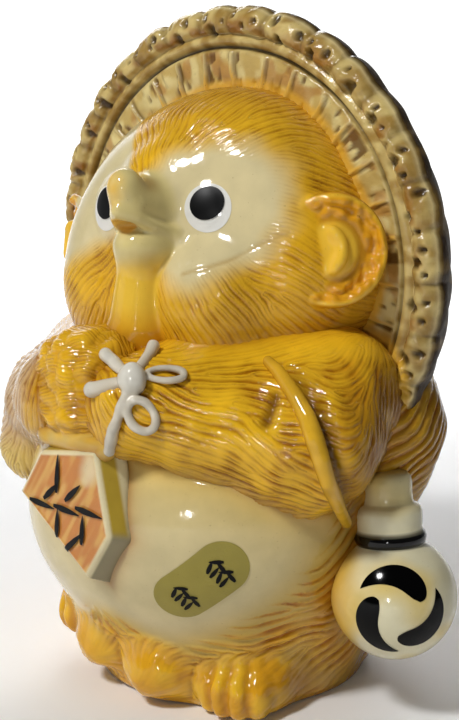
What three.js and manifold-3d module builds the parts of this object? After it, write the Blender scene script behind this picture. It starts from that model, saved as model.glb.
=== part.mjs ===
// Lucky tanuki figure in glazed stoneware, cast in one piece: millimetres, +Z up, facing -Y.
// The origin is the centre of the flat underside. The figure's own left, with the flask, is +X.

import * as THREE from 'three'
import { mergeVertices } from 'three/addons/utils/BufferGeometryUtils.js'
import Module from 'manifold-3d'

const wasm = await Module()
wasm.setup()

const TAU = 2 * Math.PI
const BOTH_SIDES = [-1, 1]

// Driving dimensions of the trunk
const BELLY = { at: [0, -10, 53], radii: [52, 47.5, 40.5] }
const TRUNK = { at: [0, 6, 62], radii: [56, 50, 58] }
const SHOULDER = { at: [41, 14, 77], radii: [24, 27, 24] }
const FOOT_OF_TRUNK = { from: [2, 5, 0], to: [0, 5, 40], radii: [40.5, 51] }
const TRUNK_BLEND = 12
const TRUNK_HEART = [0, 2, 60]
const TRUNK_COLUMNS = 56
const TRUNK_RINGS = 11
const TRUNK_LEAN = 0.55

// Driving dimensions of the head
const CRANIUM = { at: [1, 4, 133], radii: [46, 37, 39] }
const FOREHEAD = { at: [11, -2, 146], radii: [29, 26.5, 24] }
const JOWL = { at: [1.7, 0.5, 118], radii: [50.3, 38, 28] }
const CHEEKS = [
  { at: [18, -20.5, 113], radii: [20, 18.5, 19.8] }, { at: [-20.5, -18, 113.5], radii: [18.6, 17.3, 18.5] }
]
const FOREHEAD_BLEND = 8
const HEAD_BLEND = 22
const CHEEK_BLEND = 5
const HEAD_HEART = [0, 0, 124]
const HEAD_COLUMNS = 56
const HEAD_RINGS = 11

// Face, in a frame turned a little about the upright line through the skull
const FACE_TURN = 9 * Math.PI / 180
const FACE_AXIS_Y = 4
const FACE_PLANE = 32.8
const FACE_BLEND = 12
const BROW = { at: [0, -25.5, 141], radii: [15, 9, 15] }
const NOSE = { at: [0, -45.3, 143], radii: [5, 5.2, 6] }
const NOSE_BRIDGE = { from: [0, -26, 141], to: [0, -41, 141.5], radii: [8, 4.6] }
const MUZZLE = { from: [0, -28, 136], to: [0, -43.5, 138.3], radii: [9, 5] }
const UPPER_LIP = [[0, -48, 137.6], [4.2, -42.5, 134.6], [7.6, -34.5, 131.6]]
const LIP_RADII = [2.2, 2, 1.7]
const MOUTH = { at: [0, -47, 133.6], radii: [4.4, 6, 1.9] }
const JAW = { at: [-0.5, -36.5, 128.6], radii: [8.2, 10.6, 4.6] }
const CHIN = { from: [-1.8, -37.5, 125], to: [-2, -38.2, 107], radii: [4.8, 7.4] }
const EYES = { at: [15.2, -26.6, 137.8], radii: [8, 5.4, 8] }
const EAR = { at: [51, -11.4, 127.5], out: [0.7, -0.71, 0.1], ring: 13.2, roll: 2.2, pad: [7, 10, 12] }
const EAR_FOLD = { shift: [-1, -2.4, 0], ring: 5.2, roll: 1.8 }

// Arms, paws and feet
const SHOULDER_JOINT = [46, 1, 87.5]
const ELBOW = [49, -19, 77.5]
const WRIST = [15.5, -46.5, 86.5]
const ARM_RADII = { shoulder: 15.4, elbow: 16.5, wrist: 14 }
const COLLAR = { from: [50, -6, 93], to: [17, -34, 91.5], radii: [13, 11.5] }
const ARM_BLEND = 10
const ARM_COLUMNS = 22
const ARM_RINGS = 8
const PALMS = [
  { from: [-7.5, -48, 95], to: [-7.5, -48.5, 85.5], radii: [11, 11] },
  { from: [1, -48, 95], to: [1, -48.5, 85.5], radii: [11, 11] }
]
const FINGER = { radii: [5, 5, 5], rise: 8, columns: [-10.5, 2.5], reach: -55.6, low: 81.5 }
const CUFF = [[-19, -50, 77.5], [-12, -56, 77], [12.5, -57, 76.5]]
const CUFF_ROLL = 2.4
const BELOW_PALMS = { at: [-3.4, -47.5, 77], radii: [9, 5, 5] }
const ELBOW_TUFT = { at: [-55, -27, 64], radii: [9, 11, 12] }
const TAIL = { at: [0, 46, 17], radii: [10, 14, 10] }
const BAGS = [
  { at: [10, -35.6, 12], radii: [10.4, 10, 10.2] }, { at: [-10.5, -36, 15], radii: [10, 9.5, 9.5] }
]
const PAWS = [{ at: [29.5, -19, 8], radii: [13.6, 15.2, 11.2] }, { at: [-28, -21, 17], radii: [12, 13, 10] }]
const TOES = { count: 4, spread: 0.42, turn: 0.3, reach: [0.78, 0.8], radii: [4.4, 5, 6.5] }

// Straw hat, worn like a halo behind the head
const HAT = { at: [0, 3.4, 122.2], radius: 72.4, rim: 7, crown: 46, sag: 3.5, tilt: 4.5 * Math.PI / 180 }
const HAT_SCALLOPS = 33
const HAT_TURN = 6.4 * Math.PI / 180
const HAT_SEGMENTS_PER_SCALLOP = 2
const HAT_SEAM = 62.5
const SCALLOP_RISE = 1.4
const RIB_RISE = 1
const HAT_INNER = HAT_SEAM - 12

// Flask, plaque and bow
const FLASK = { at: [64, -0.3, 34.6], ball: 17, neck: 9.2, cap: 6.8, shoulder: 16, lip: 24, top: 34 }
const FLASK_LEAN = 0.09
const PLAQUE = { at: [-5.3, -61, 51.6], out: [0, -1, 0.02], up: [0.564, 0, 0.826] }
const PLAQUE_SIZE = { base: 32.8, shoulder: 15.2, apex: 29.7, thick: 11, bevel: 0.8, flare: 0.3 }
const KNOT = { at: [22.2, -57, 96], radii: [4, 3.4, 4.3] }
const BOW_ENDS = [
  { to: [9.4, -53.8, 101], radii: [1.2, 1.8] }, { to: [10.4, -59.3, 91.9], radii: [1.2, 2.1] },
  { to: [17.2, -44.6, 102.3], radii: [1.2, 1.7] }
]
const BOW_TAIL = [[21.5, -59.5, 90], [18.8, -60.6, 83.5], [14.9, -59.2, 76.8]]
const TAIL_RADII = [1.4, 1.5, 1.7]
const BOW_LOOPS = [
  { from: [23.8, -53.2, 97], to: [30.4, -47, 96.8], half: 2, roll: 0.9, faces: [0.5, -0.47, 0.72] },
  { from: [23.4, -58.4, 90.4], to: [28, -56, 83.9], half: 3.1, roll: 1.15, faces: [0.6, -0.8, 0.1] }
]
const BRIDGE = { from: [50, -1, 44], to: [57, -1, 51], radii: [7, 6] }
const STRAP = [
  [42.5, -28, 99.1], [50.4, -30, 94.2], [58.6, -32.3, 87.1], [61.4, -32.7, 82],
  [62.8, -32, 77.1], [63.3, -29.8, 71.3], [61.4, -22.8, 63.7], [55.4, -11.2, 55.6]
]
const STRAP_RADII = [1.4, 2.2, 2.6, 2.8, 2.6, 2.3, 2, 1.8]

// Relief of the fur
const FUR_DEPTH = 1.5
const FUR_STEP = 0.9
const LOCK_RINGS = 3

// How a net is drawn in onto its field
const FAR_OUT = 120
const MARCH_STEPS = 60
const MARCH_SHARE = 0.8

const GLAZE = new THREE.MeshStandardMaterial({ color: 0xdca52c, roughness: 0.12, metalness: 0 })

const vec = ([x, y, z]) => new THREE.Vector3(x, y, z)
const clamp = (x) => Math.min(1, Math.max(0, x))

function eggDistance(p, { at, radii }) {
  const q = p.map((value, i) => (value - at[i]) / radii[i])
  const near = Math.hypot(...q)
  const slope = Math.hypot(...q.map((value, i) => value / radii[i]))
  return near * (near - 1) / Math.max(slope, 1e-9)
}

function limbDistance(p, { from, to, radii }) {
  const start = vec(from)
  const run = vec(to).sub(start)
  const along = clamp(vec(p).sub(start).dot(run) / run.lengthSq())
  const gap = vec(p).distanceTo(start.addScaledVector(run, along))
  return gap - THREE.MathUtils.lerp(radii[0], radii[1], along)
}

function blend(a, b, width) {
  const share = Math.max(width - Math.abs(a - b), 0) / width
  return Math.min(a, b) - share * share * width / 4
}

const carved = (body, hole, width) => -blend(-body, hole, width)

// The same point seen in the frame of the face, or back out of it with the turn reversed
function faced([x, y, z], turn = FACE_TURN) {
  const away = y - FACE_AXIS_Y
  const across = Math.cos(turn) * x + Math.sin(turn) * away
  return [across, Math.cos(turn) * away - Math.sin(turn) * x + FACE_AXIS_Y, z]
}

const onFace = (point) => faced(point, -FACE_TURN)
const mirrored = (p) => [Math.abs(p[0]), p[1], p[2]]

function trunkField(p) {
  let gap = blend(eggDistance(p, BELLY), eggDistance(p, TRUNK), TRUNK_BLEND)
  gap = blend(gap, limbDistance(p, FOOT_OF_TRUNK), TRUNK_BLEND)
  return blend(gap, eggDistance(mirrored(p), SHOULDER), TRUNK_BLEND)
}

function headField(p) {
  const face = faced(p)
  let gap = blend(eggDistance(p, CRANIUM), eggDistance(p, FOREHEAD), FOREHEAD_BLEND)
  gap = blend(gap, eggDistance(p, JOWL), HEAD_BLEND)
  gap = carved(gap, face[1] + FACE_PLANE, FACE_BLEND)
  gap = blend(gap, eggDistance(face, BROW), CHEEK_BLEND)
  return CHEEKS.reduce((all, cheek) => blend(all, eggDistance(p, cheek), CHEEK_BLEND), gap)
}

function armField(p) {
  const { shoulder, elbow, wrist } = ARM_RADII
  const upper = limbDistance(p, { from: SHOULDER_JOINT, to: ELBOW, radii: [shoulder, elbow] })
  const fore = limbDistance(p, { from: ELBOW, to: WRIST, radii: [elbow, wrist] })
  return blend(blend(upper, fore, ARM_BLEND), limbDistance(p, COLLAR), ARM_BLEND)
}

// Fur: every other column is a valley, and each lock of four columns ends in a small step.
// It fades out towards the two poles, where the columns run together.
function fur(column, ring, rings) {
  const valley = column % 2
  const lock = (ring + Math.floor(column / 4)) % LOCK_RINGS
  const fade = clamp(2.2 * Math.sin(Math.PI * ring / rings) - 0.5)
  return fade * (valley * FUR_DEPTH + FUR_STEP * lock / LOCK_RINGS)
}

// A sphere's net drawn in along its own rays until it lies on a field, then carved.
// A lean turns the columns away from the front as they rise.
function wrap(field, heart, pole, columns, rings, carve, lean = 0) {
  const net = new THREE.SphereGeometry(1, columns, rings)
  const turn = new THREE.Quaternion().setFromUnitVectors(new THREE.Vector3(0, 1, 0), vec(pole).normalize())
  const place = net.attributes.position
  const ray = new THREE.Vector3()
  for (let i = 0; i < place.count; i++) {
    const column = i % (columns + 1) % columns
    const ring = Math.floor(i / (columns + 1))
    ray.fromBufferAttribute(place, i).applyQuaternion(turn)
    ray.applyAxisAngle(new THREE.Vector3(0, 0, 1), lean * ray.z * ray.x)
    let reach = FAR_OUT
    for (let step = 0; step < MARCH_STEPS; step++) {
      reach -= MARCH_SHARE * field(ray.clone().multiplyScalar(reach).add(vec(heart)).toArray())
    }
    const tip = ray.clone().multiplyScalar(reach).add(vec(heart))
    reach -= carve(tip, column, ring)
    place.setXYZ(i, ...ray.multiplyScalar(reach).add(vec(heart)))
  }
  return net
}

function solid(geometry) {
  const plain = geometry.index ? geometry.toNonIndexed() : geometry.clone()
  plain.deleteAttribute('normal')
  plain.deleteAttribute('uv')
  const merged = mergeVertices(plain, 1e-4)
  const corners = []
  const index = merged.index.array
  for (let i = 0; i < index.length; i += 3) {
    const [a, b, c] = index.slice(i, i + 3)
    if (a !== b && b !== c && c !== a) corners.push(a, b, c)
  }
  return new wasm.Manifold(new wasm.Mesh({
    numProp: 3,
    vertProperties: new Float32Array(merged.attributes.position.array),
    triVerts: new Uint32Array(corners)
  }))
}

function egg({ at, radii }, columns = 10, rings = 6) {
  return solid(new THREE.SphereGeometry(1, columns, rings).scale(...radii).translate(...at))
}

// A tapered limb with round ends: a lathed capsule stood along the line between its ends
function limb({ from, to, radii }, columns = 10, steps = 3) {
  const run = vec(to).sub(vec(from))
  const profile = []
  for (let i = 0; i <= steps; i++) {
    const a = -Math.PI / 2 + i / steps * Math.PI / 2
    profile.push(new THREE.Vector2(radii[0] * Math.cos(a), radii[0] * Math.sin(a)))
  }
  for (let i = 0; i <= steps; i++) {
    const a = i / steps * Math.PI / 2
    profile.push(new THREE.Vector2(radii[1] * Math.cos(a), run.length() + radii[1] * Math.sin(a)))
  }
  profile[0].x = 0
  profile[profile.length - 1].x = 0
  const turn = new THREE.Quaternion().setFromUnitVectors(new THREE.Vector3(0, 1, 0), run.normalize())
  return solid(new THREE.LatheGeometry(profile, columns).applyQuaternion(turn).translate(...from))
}

function ringOf(at, axis, ring, roll, columns = 18, sides = 7) {
  const turn = new THREE.Quaternion().setFromUnitVectors(new THREE.Vector3(0, 0, 1), vec(axis).normalize())
  return solid(new THREE.TorusGeometry(ring, roll, sides, columns).applyQuaternion(turn).translate(...at))
}

const onSide = (side, [x, y, z]) => [side * x, y, z]

// The belly and the chest stay smooth; the fur starts outside this oval of the front
function bellyIsSmooth(tip) {
  const oval = Math.hypot(tip.x / 44, (tip.z - 50) / 38)
  return tip.y < 0 && oval < 1
}

function trunk() {
  const carve = (tip, column, ring) => (bellyIsSmooth(tip) ? 0 : fur(column, ring, TRUNK_RINGS))
  return solid(wrap(trunkField, TRUNK_HEART, [0, 0, 1], TRUNK_COLUMNS, TRUNK_RINGS, carve, TRUNK_LEAN))
}

// Round each eye lies a smooth patch; the fur starts outside both patches
function faceIsSmooth(tip) {
  const [x, y, z] = faced(tip.toArray())
  const patch = Math.hypot((Math.abs(x) - 16) / 22, (z - 137) / 20)
  return y < 0 && patch < 1
}

function skull() {
  const carve = (tip, column, ring) => (faceIsSmooth(tip) ? 0 : fur(column, ring, HEAD_RINGS))
  return solid(wrap(headField, HEAD_HEART, [0, -1, 0], HEAD_COLUMNS, HEAD_RINGS, carve))
}

// Round-ended links from point to point, each with a radius
function chain(points, radii, columns = 6) {
  const link = (i) => {
    const ends = { from: points[i], to: points[i + 1], radii: [radii[i], radii[i + 1]] }
    return limb(ends, columns, 1)
  }
  let all = link(0)
  for (let i = 1; i < points.length - 1; i++) all = all.add(link(i))
  return all
}

function face() {
  const eggOnFace = ({ at, radii }, ...net) => egg({ at: onFace(at), radii }, ...net)
  const limbOnFace = ({ from, to, radii }) => limb({ from: onFace(from), to: onFace(to), radii })
  const middle = [limbOnFace(NOSE_BRIDGE), limbOnFace(MUZZLE), limbOnFace(CHIN)]
  const cheeks = CHEEKS.map((cheek) => egg(cheek, 14, 8))
  const muzzle = [...cheeks, eggOnFace(NOSE, 9, 6), eggOnFace(JAW, 10, 6), ...middle]
  for (const side of BOTH_SIDES) {
    muzzle.push(chain(UPPER_LIP.map((point) => onFace(onSide(side, point))), LIP_RADII))
    muzzle.push(eggOnFace({ at: onSide(side, EYES.at), radii: EYES.radii }, 8, 5))
  }
  return muzzle.reduce((all, piece) => all.add(piece), skull()).subtract(eggOnFace(MOUTH, 8, 5))
}

function ear(side) {
  const { at, out, ring, roll, pad } = EAR
  const middle = onSide(side, at)
  const axis = onSide(side, out)
  const fold = onSide(side, EAR_FOLD.shift).map((shift, i) => middle[i] + shift)
  const behind = onSide(side, out).map((part, i) => middle[i] - part * (pad[0] - 1.5))
  const shell = ringOf(middle, axis, ring, roll, 12, 4).add(egg({ at: behind, radii: pad }, 9, 5))
  return shell.add(ringOf(fold, axis, EAR_FOLD.ring, EAR_FOLD.roll, 8, 4))
}

function arm(side) {
  const carve = (tip, column, ring) => fur(column, ring, ARM_RINGS)
  const reach = vec(WRIST).sub(vec(ELBOW)).toArray()
  const net = wrap(armField, ELBOW, reach, ARM_COLUMNS, ARM_RINGS, carve)
  if (side > 0) return solid(net)
  net.scale(-1, 1, 1)
  const order = net.index.array
  for (let i = 0; i < order.length; i += 3) [order[i], order[i + 1]] = [order[i + 1], order[i]]
  return solid(net)
}

function clasp() {
  let paws = limb(PALMS[0]).add(limb(PALMS[1])).add(egg(BELOW_PALMS, 8, 5))
  paws = paws.add(chain(CUFF, CUFF.map(() => CUFF_ROLL)))
  for (const x of FINGER.columns) {
    for (let i = 0; i < 3; i++) {
      const at = [x, FINGER.reach, FINGER.low + i * FINGER.rise]
      paws = paws.add(egg({ at, radii: FINGER.radii }, 7, 4))
    }
  }
  return paws
}

function hindPaw({ at, radii }) {
  let paw = egg({ at, radii }, 10, 6)
  for (let i = 0; i < TOES.count; i++) {
    const turn = TOES.turn + (i - (TOES.count - 1) / 2) * TOES.spread
    const x = at[0] + Math.sign(at[0]) * Math.sin(turn) * TOES.reach[0] * radii[0]
    const y = at[1] - Math.cos(turn) * TOES.reach[1] * radii[1]
    paw = paw.add(egg({ at: [x, y, at[2] - 1], radii: TOES.radii }, 7, 4))
  }
  return paw
}

// The hat is lathed about its axis, with a puffy scalloped rim outside the seam and ribs inside it
function hat() {
  const { radius, rim, crown, sag } = HAT
  const profile = [
    [0, 1], [HAT_INNER, 1], [HAT_SEAM - 1.2, 0.5], [HAT_SEAM, 1.4], [HAT_SEAM + 1.2, 0],
    [HAT_SEAM + 6, -1], [radius, 1.4], [radius + 0.6, rim - 1], [radius * 0.93, crown * 0.37],
    [radius * 0.7, crown * 0.7], [radius * 0.42, crown * 0.9], [0, crown]
  ].map(([r, depth]) => new THREE.Vector2(r, depth))
  const columns = HAT_SCALLOPS * HAT_SEGMENTS_PER_SCALLOP
  const shell = new THREE.LatheGeometry(profile, columns, HAT_TURN)
  const place = shell.attributes.position
  for (let i = 0; i < place.count; i++) {
    const r = Math.hypot(place.getX(i), place.getZ(i))
    const depth = place.getY(i)
    const onBoundary = Math.floor(i / profile.length) % HAT_SEGMENTS_PER_SCALLOP === 0
    const onPanels = depth < rim / 2 && r > HAT_INNER - 1 && r < HAT_SEAM - 0.5
    const swell = r > HAT_SEAM + 3 && !onBoundary ? SCALLOP_RISE : 0
    const lift = (depth < 0 ? swell : 0) + (onPanels && onBoundary ? RIB_RISE : 0)
    const grow = r > 0 ? (r + swell) / r : 1
    const drop = sag * clamp((depth - rim) / 14)
    place.setXYZ(i, place.getX(i) * grow, depth - lift, place.getZ(i) * grow - drop)
  }
  return solid(shell.rotateX(HAT.tilt).translate(...HAT.at))
}

function flask() {
  const { at, ball, neck, cap, shoulder, lip, top } = FLASK
  const profile = [new THREE.Vector2(0, -ball)]
  const open = Math.asin(neck / ball)
  const steps = 7
  for (let i = 1; i <= steps; i++) {
    const a = Math.PI - i / steps * (Math.PI - open)
    profile.push(new THREE.Vector2(ball * Math.sin(a), ball * Math.cos(a)))
  }
  const rise = [[neck + 0.6, shoulder], [neck, shoulder + 2], [neck, lip], [neck - 1, lip + 1]]
  const lid = [[cap, lip + 1.5], [cap, top - 3], [cap - 2.5, top - 0.6], [0, top]]
  for (const [r, z] of [...rise, ...lid]) profile.push(new THREE.Vector2(r, z))
  const shell = new THREE.LatheGeometry(profile, 14).rotateX(Math.PI / 2).rotateY(-FLASK_LEAN)
  return solid(shell.translate(...at))
}

// A five-sided gaming piece held on the belly, its point up and leaning to the figure's left.
// Its side walls flare towards the belly.
function plaque() {
  const { base, shoulder, apex, thick, bevel, flare } = PLAQUE_SIZE
  const half = base / 2 - bevel
  const outline = new THREE.Shape()
  outline.moveTo(-half, bevel)
  outline.lineTo(half, bevel)
  outline.lineTo(half, shoulder)
  outline.lineTo(0, apex - bevel)
  outline.lineTo(-half, shoulder)
  outline.closePath()
  const edge = { bevelEnabled: true, bevelSize: bevel, bevelThickness: bevel, bevelSegments: 1 }
  const tile = new THREE.ExtrudeGeometry(outline, { depth: thick - 2 * bevel, ...edge })
  const out = vec(PLAQUE.out).normalize()
  const up = vec(PLAQUE.up)
  up.addScaledVector(out, -up.dot(out)).normalize()
  const across = new THREE.Vector3().crossVectors(up, out)
  tile.translate(0, 0, bevel - thick)
  const place = tile.attributes.position
  for (let i = 0; i < place.count; i++) place.setX(i, place.getX(i) * (1 - place.getZ(i) / thick * flare))
  tile.applyMatrix4(new THREE.Matrix4().makeBasis(across, up, out).setPosition(vec(PLAQUE.at)))
  return solid(tile)
}

function bow() {
  let cord = egg(KNOT, 9, 6)
  for (const { to, radii } of BOW_ENDS) cord = cord.add(limb({ from: KNOT.at, to, radii }, 6, 2))
  cord = cord.add(chain([KNOT.at, ...BOW_TAIL], [1.2, ...TAIL_RADII]))
  for (const { from, to, half, roll, faces } of BOW_LOOPS) {
    const along = vec(to).sub(vec(from))
    const stretch = along.length() / 2 / half
    along.normalize()
    const out = vec(faces)
    out.addScaledVector(along, -out.dot(along)).normalize()
    const across = new THREE.Vector3().crossVectors(out, along)
    const middle = vec(from).add(vec(to)).multiplyScalar(0.5)
    const oval = new THREE.TorusGeometry(half, roll, 4, 10).scale(stretch, 1, 1)
    oval.applyMatrix4(new THREE.Matrix4().makeBasis(along, across, out).setPosition(middle))
    cord = cord.add(solid(oval))
  }
  return cord
}

function figure() {
  const pieces = [
    face(), ...BOTH_SIDES.map(ear), ...BOTH_SIDES.map(arm), clasp(), egg(ELBOW_TUFT), egg(TAIL),
    ...BAGS.map((bag) => egg(bag)), ...PAWS.map(hindPaw), hat(), flask(), plaque(), bow(),
    chain(STRAP, STRAP_RADII), limb(BRIDGE)
  ]
  const whole = pieces.reduce((all, piece) => all.add(piece), trunk())
  const below = solid(new THREE.BoxGeometry(300, 300, 60).translate(0, 0, -30))
  return whole.subtract(below)
}

function meshOf(manifold, name, material) {
  const { vertProperties, triVerts } = manifold.getMesh()
  const geometry = new THREE.BufferGeometry()
  geometry.setAttribute('position', new THREE.BufferAttribute(vertProperties, 3))
  geometry.setIndex(new THREE.BufferAttribute(triVerts, 1))
  geometry.computeVertexNormals()
  const mesh = new THREE.Mesh(geometry, material)
  mesh.name = name
  return mesh
}

const group = new THREE.Group()
group.add(meshOf(figure(), 'tanuki_figure', GLAZE))

export default group
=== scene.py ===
"""Lucky tanuki figure in yellow glazed stoneware, worked out in millimetres and meshed in metres."""
import math

import bpy
import numpy as np
from mathutils import Matrix, Vector
from mathutils.kdtree import KDTree


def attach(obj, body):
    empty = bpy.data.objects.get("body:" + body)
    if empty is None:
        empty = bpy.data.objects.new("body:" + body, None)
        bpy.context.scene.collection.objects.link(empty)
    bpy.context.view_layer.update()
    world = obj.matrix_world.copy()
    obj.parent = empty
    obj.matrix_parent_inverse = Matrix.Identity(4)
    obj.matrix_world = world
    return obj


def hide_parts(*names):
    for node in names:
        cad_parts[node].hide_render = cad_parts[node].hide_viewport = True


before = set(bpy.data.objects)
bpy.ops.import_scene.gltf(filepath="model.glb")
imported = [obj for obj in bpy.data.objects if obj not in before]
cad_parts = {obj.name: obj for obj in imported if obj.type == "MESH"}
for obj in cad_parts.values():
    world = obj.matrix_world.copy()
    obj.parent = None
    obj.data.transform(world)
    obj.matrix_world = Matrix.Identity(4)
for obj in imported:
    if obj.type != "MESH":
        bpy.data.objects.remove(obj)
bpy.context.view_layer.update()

MM = 0.001
NODE = "tanuki_figure"


def rgb(red, green, blue):
    """A colour given as 0 to 255, as linear light."""
    return (np.array([red, green, blue]) / 255) ** 2.2


YELLOW = rgb(242, 188, 40)
AMBER = rgb(156, 94, 10)
CREAM = rgb(216, 200, 152)
BARE_CLAY = rgb(196, 164, 130)
# Painted shade for the figure's left flank and back
FLANK_SHADE = rgb(112, 70, 16)

# Trunk and head, in the same places as the solids
BELLY = ((0, -10, 53), (52, 47.5, 40.5))
TRUNK = ((0, 6, 62), (56, 50, 58))
SHOULDER = ((41, 14, 77), (24, 27, 24))
TRUNK_FOOT = ((2, 5, 0), (0, 5, 40), (40.5, 51))
TRUNK_BLEND = 12
CRANIUM = ((1, 4, 133), (46, 37, 39))
FOREHEAD = ((11, -2, 146), (29, 26.5, 24))
JOWL = ((1.7, 0.5, 118), (50.3, 38, 28))
CHEEKS = (((18, -20.5, 113), (20, 18.5, 19.8)), ((-20.5, -18, 113.5), (18.6, 17.3, 18.5)))
# The smile line on the near cheek
SMILE = (
    (20.7, -35.9, 120.7), (26.6, -34.6, 122.9), (31.9, -30.8, 125.6), (36.1, -25.8, 128.6),
    (43.1, -20.1, 132),
)

# The face, tuned apart from the solid. Its own frame is turned to the figure's left, nose near x = 0
FACE_TURN = math.radians(9)
CRANIUM_AXIS = np.array([0, 4, 0])
FACE_PLANE = 32.8
FACE_BLEND = 12
BROW = ((0, -25.5, 141), (15, 9, 15))
NOSE = ((-0.3, -44.9, 143.3), (4.8, 5, 5.4))
BRIDGE_OF_NOSE = ((0, -26, 141), (0, -41, 141.5), (8, 4.6))
MUZZLE = ((0, -28, 136), (0, -43.5, 138.3), (9, 5))
UPPER_LIP = ((0, -48, 137.6), (3.2, -44.5, 135.6), (5.2, -40.5, 133.6), (7.6, -34.5, 131.6))
UPPER_LIP_ROLL = (2.2, 2, 1.9, 1.7)
MOUTH = ((-0.8, -46, 133.6), (4.2, 5, 1.5))
JAW = ((0, -35.6, 128.6), (7.8, 10.2, 6))
LIP_LEVEL = 132
LIP_FALL = 0.08
CHIN = ((-1.4, -36, 126), (-2.2, -36.6, 106), (6.2, 8.8))
EYE = (16.8, -31.4, 138.3)
EYE_OUT = (0.32, -0.93, 0.12)
EYE_BALL = 17
EYE_PROUD = 1.2

# Ears, limbs and what the figure carries
EAR_AT = (51, -12.4, 127.5)
EAR_OUT = (0.82, -0.56, 0.1)
EAR_RIM = 13.4
EAR_FOLD = 5.4
EAR_GROOVE = 8.2
SHOULDER_JOINT = (46, 1, 87.5)
ELBOW = (49, -19, 77.5)
WRIST = (15.5, -46.5, 86.5)
COLLAR = ((50, -6, 93), (17, -34, 91.5), (13, 11.5))
PALMS = (((-7.5, -48, 95), (-7.5, -48.5, 85.5), (11, 11)), ((1, -48, 95), (1, -48.5, 85.5), (11, 11)))
CUFF = ((-19, -50, 77.5), (-12, -56, 77), (12.5, -57, 76.5))
CUFF_ROLL = (2.4, 2.4, 2.4)
ELBOW_TUFT = ((-55, -27, 64), (9, 11, 12))
TAIL = ((0, 46, 17), (10, 14, 10))
BAGS = (((10, -35.6, 12), (10.4, 10, 10.2)), ((-10.5, -36, 15), (10, 9.5, 9.5)))
PAWS = (((29.5, -19, 8), (13.6, 15.2, 11.2)), ((-28, -21, 17), (12, 13, 10)))
STRAP = (
    (42.5, -28, 99.1), (46.2, -28.5, 96.9), (50.4, -30, 94.2), (54.8, -31.5, 91.1), (58.6, -32.3, 87.1),
    (61.4, -32.7, 82), (62.8, -32, 77.1), (63.3, -29.8, 71.3), (61.4, -22.8, 63.7), (55.4, -11.2, 55.6),
)
STRAP_ROLL = (1.3, 1.7, 1.9, 2, 2.2, 2.4, 2.2, 2, 1.8, 1.6)
FLASK_AT = (64, -0.3, 34.6)
FLASK_LEAN = 0.09
FLASK_BALL = 17
FLASK_NECK = 9.6
PLAQUE_AT = (-5.3, -61, 51.6)
PLAQUE_HALF = 16.4
PLAQUE_TOP = 29.7
PLAQUE_SLOPE = (14.2, 15.8)
PLAQUE_OUT = (0, -1, 0.02)
PLAQUE_UP = (0.564, 0, 0.826)
HAT_AT = (0, 3.4, 122.2)
HAT_TILT = math.radians(4.5)


def unit(vector):
    vector = np.asarray(vector, float)
    return vector / np.linalg.norm(vector)


def smooth(low, high, value):
    share = np.clip((value - low) / (high - low), 0, 1)
    return share * share * (3 - 2 * share)


def mix(first, second, share):
    share = np.asarray(share)[..., None]
    return first * (1 - share) + second * share


# Distance fields


def egg(p, at, radii):
    q = (p - np.float32(at)) / np.float32(radii)
    near = np.sqrt((q * q).sum(1))
    slope = np.sqrt(((q / np.float32(radii)) ** 2).sum(1)) + 1e-9
    return near * (near - 1) / slope


def limb(p, start, end, radii):
    start = np.float32(start)
    run = np.float32(end) - start
    q = p - start
    along = np.clip((q @ run) / (run @ run), 0, 1)
    q = q - along[:, None] * run
    return np.sqrt((q * q).sum(1)) - (radii[0] + (radii[1] - radii[0]) * along)


def chain(p, points, radii):
    links = [limb(p, *pair) for pair in zip(points, points[1:], zip(radii, radii[1:]))]
    return np.minimum.reduce(links)


def blend(first, second, width):
    share = np.maximum(width - np.abs(first - second), 0) / width
    return np.minimum(first, second) - share * share * width / 4


def carve(body, hole, width):
    return -blend(-body, hole, width)


def ring(p, at, axis, radius, roll):
    q = p - np.float32(at)
    height = q @ np.float32(unit(axis))
    out = np.sqrt(np.maximum((q * q).sum(1) - height * height, 0))
    return np.sqrt((out - radius) ** 2 + height * height) - roll


def loop(p, start, end, half, roll, faces):
    """An oval ring of cord from start to end, with that half width, that faces one way."""
    along = np.float32(end) - np.float32(start)
    middle = np.float32(start) + along / 2
    length = float(np.linalg.norm(along)) / 2
    along = np.float32(unit(along))
    out = np.float32(faces)
    out = np.float32(unit(out - along * (out @ along)))
    across = np.cross(out, along)
    q = p - middle
    u, v, height = q @ along / length, q @ across / half, q @ out
    near = np.sqrt(u * u + v * v)
    gap = (near - 1) * near / (np.sqrt((u / length) ** 2 + (v / half) ** 2) + 1e-6)
    return np.sqrt(gap ** 2 + height ** 2) - roll


def mirrored(p):
    q = p.copy()
    q[:, 0] = np.abs(q[:, 0])
    return q


def stand(p, gap):
    """Cuts a field off flat at the underside, with a rounded edge."""
    return carve(gap, p[:, 2], 1.6)


def disc_of(p, at, out, radius, thick):
    """A flattened ball that faces one way."""
    q = p - np.float32(at)
    height = q @ np.float32(unit(out))
    across = (q * q).sum(1) - height * height
    near = np.sqrt(np.maximum(across, 0) / radius ** 2 + height ** 2 / thick ** 2)
    slope = np.sqrt(np.maximum(across, 0) / radius ** 4 + height ** 2 / thick ** 4) + 1e-9
    return near * (near - 1) / slope


def faced(p, turn=FACE_TURN):
    """Points in the frame of the face, turned about the head's upright axis."""
    c, s = np.float32(math.cos(turn)), np.float32(math.sin(turn))
    q = p.copy()
    y = p[:, 1] - CRANIUM_AXIS[1]
    q[:, 0] = c * p[:, 0] + s * y
    q[:, 1] = c * y - s * p[:, 0] + CRANIUM_AXIS[1]
    return q


def unfaced(point):
    return faced(np.array([point], float), -FACE_TURN)[0]


def eye_ball(q):
    middle = np.array(EYE) - unit(EYE_OUT) * (EYE_BALL - EYE_PROUD)
    return np.sqrt(((q - np.float32(middle)) ** 2).sum(1)) - EYE_BALL


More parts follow.
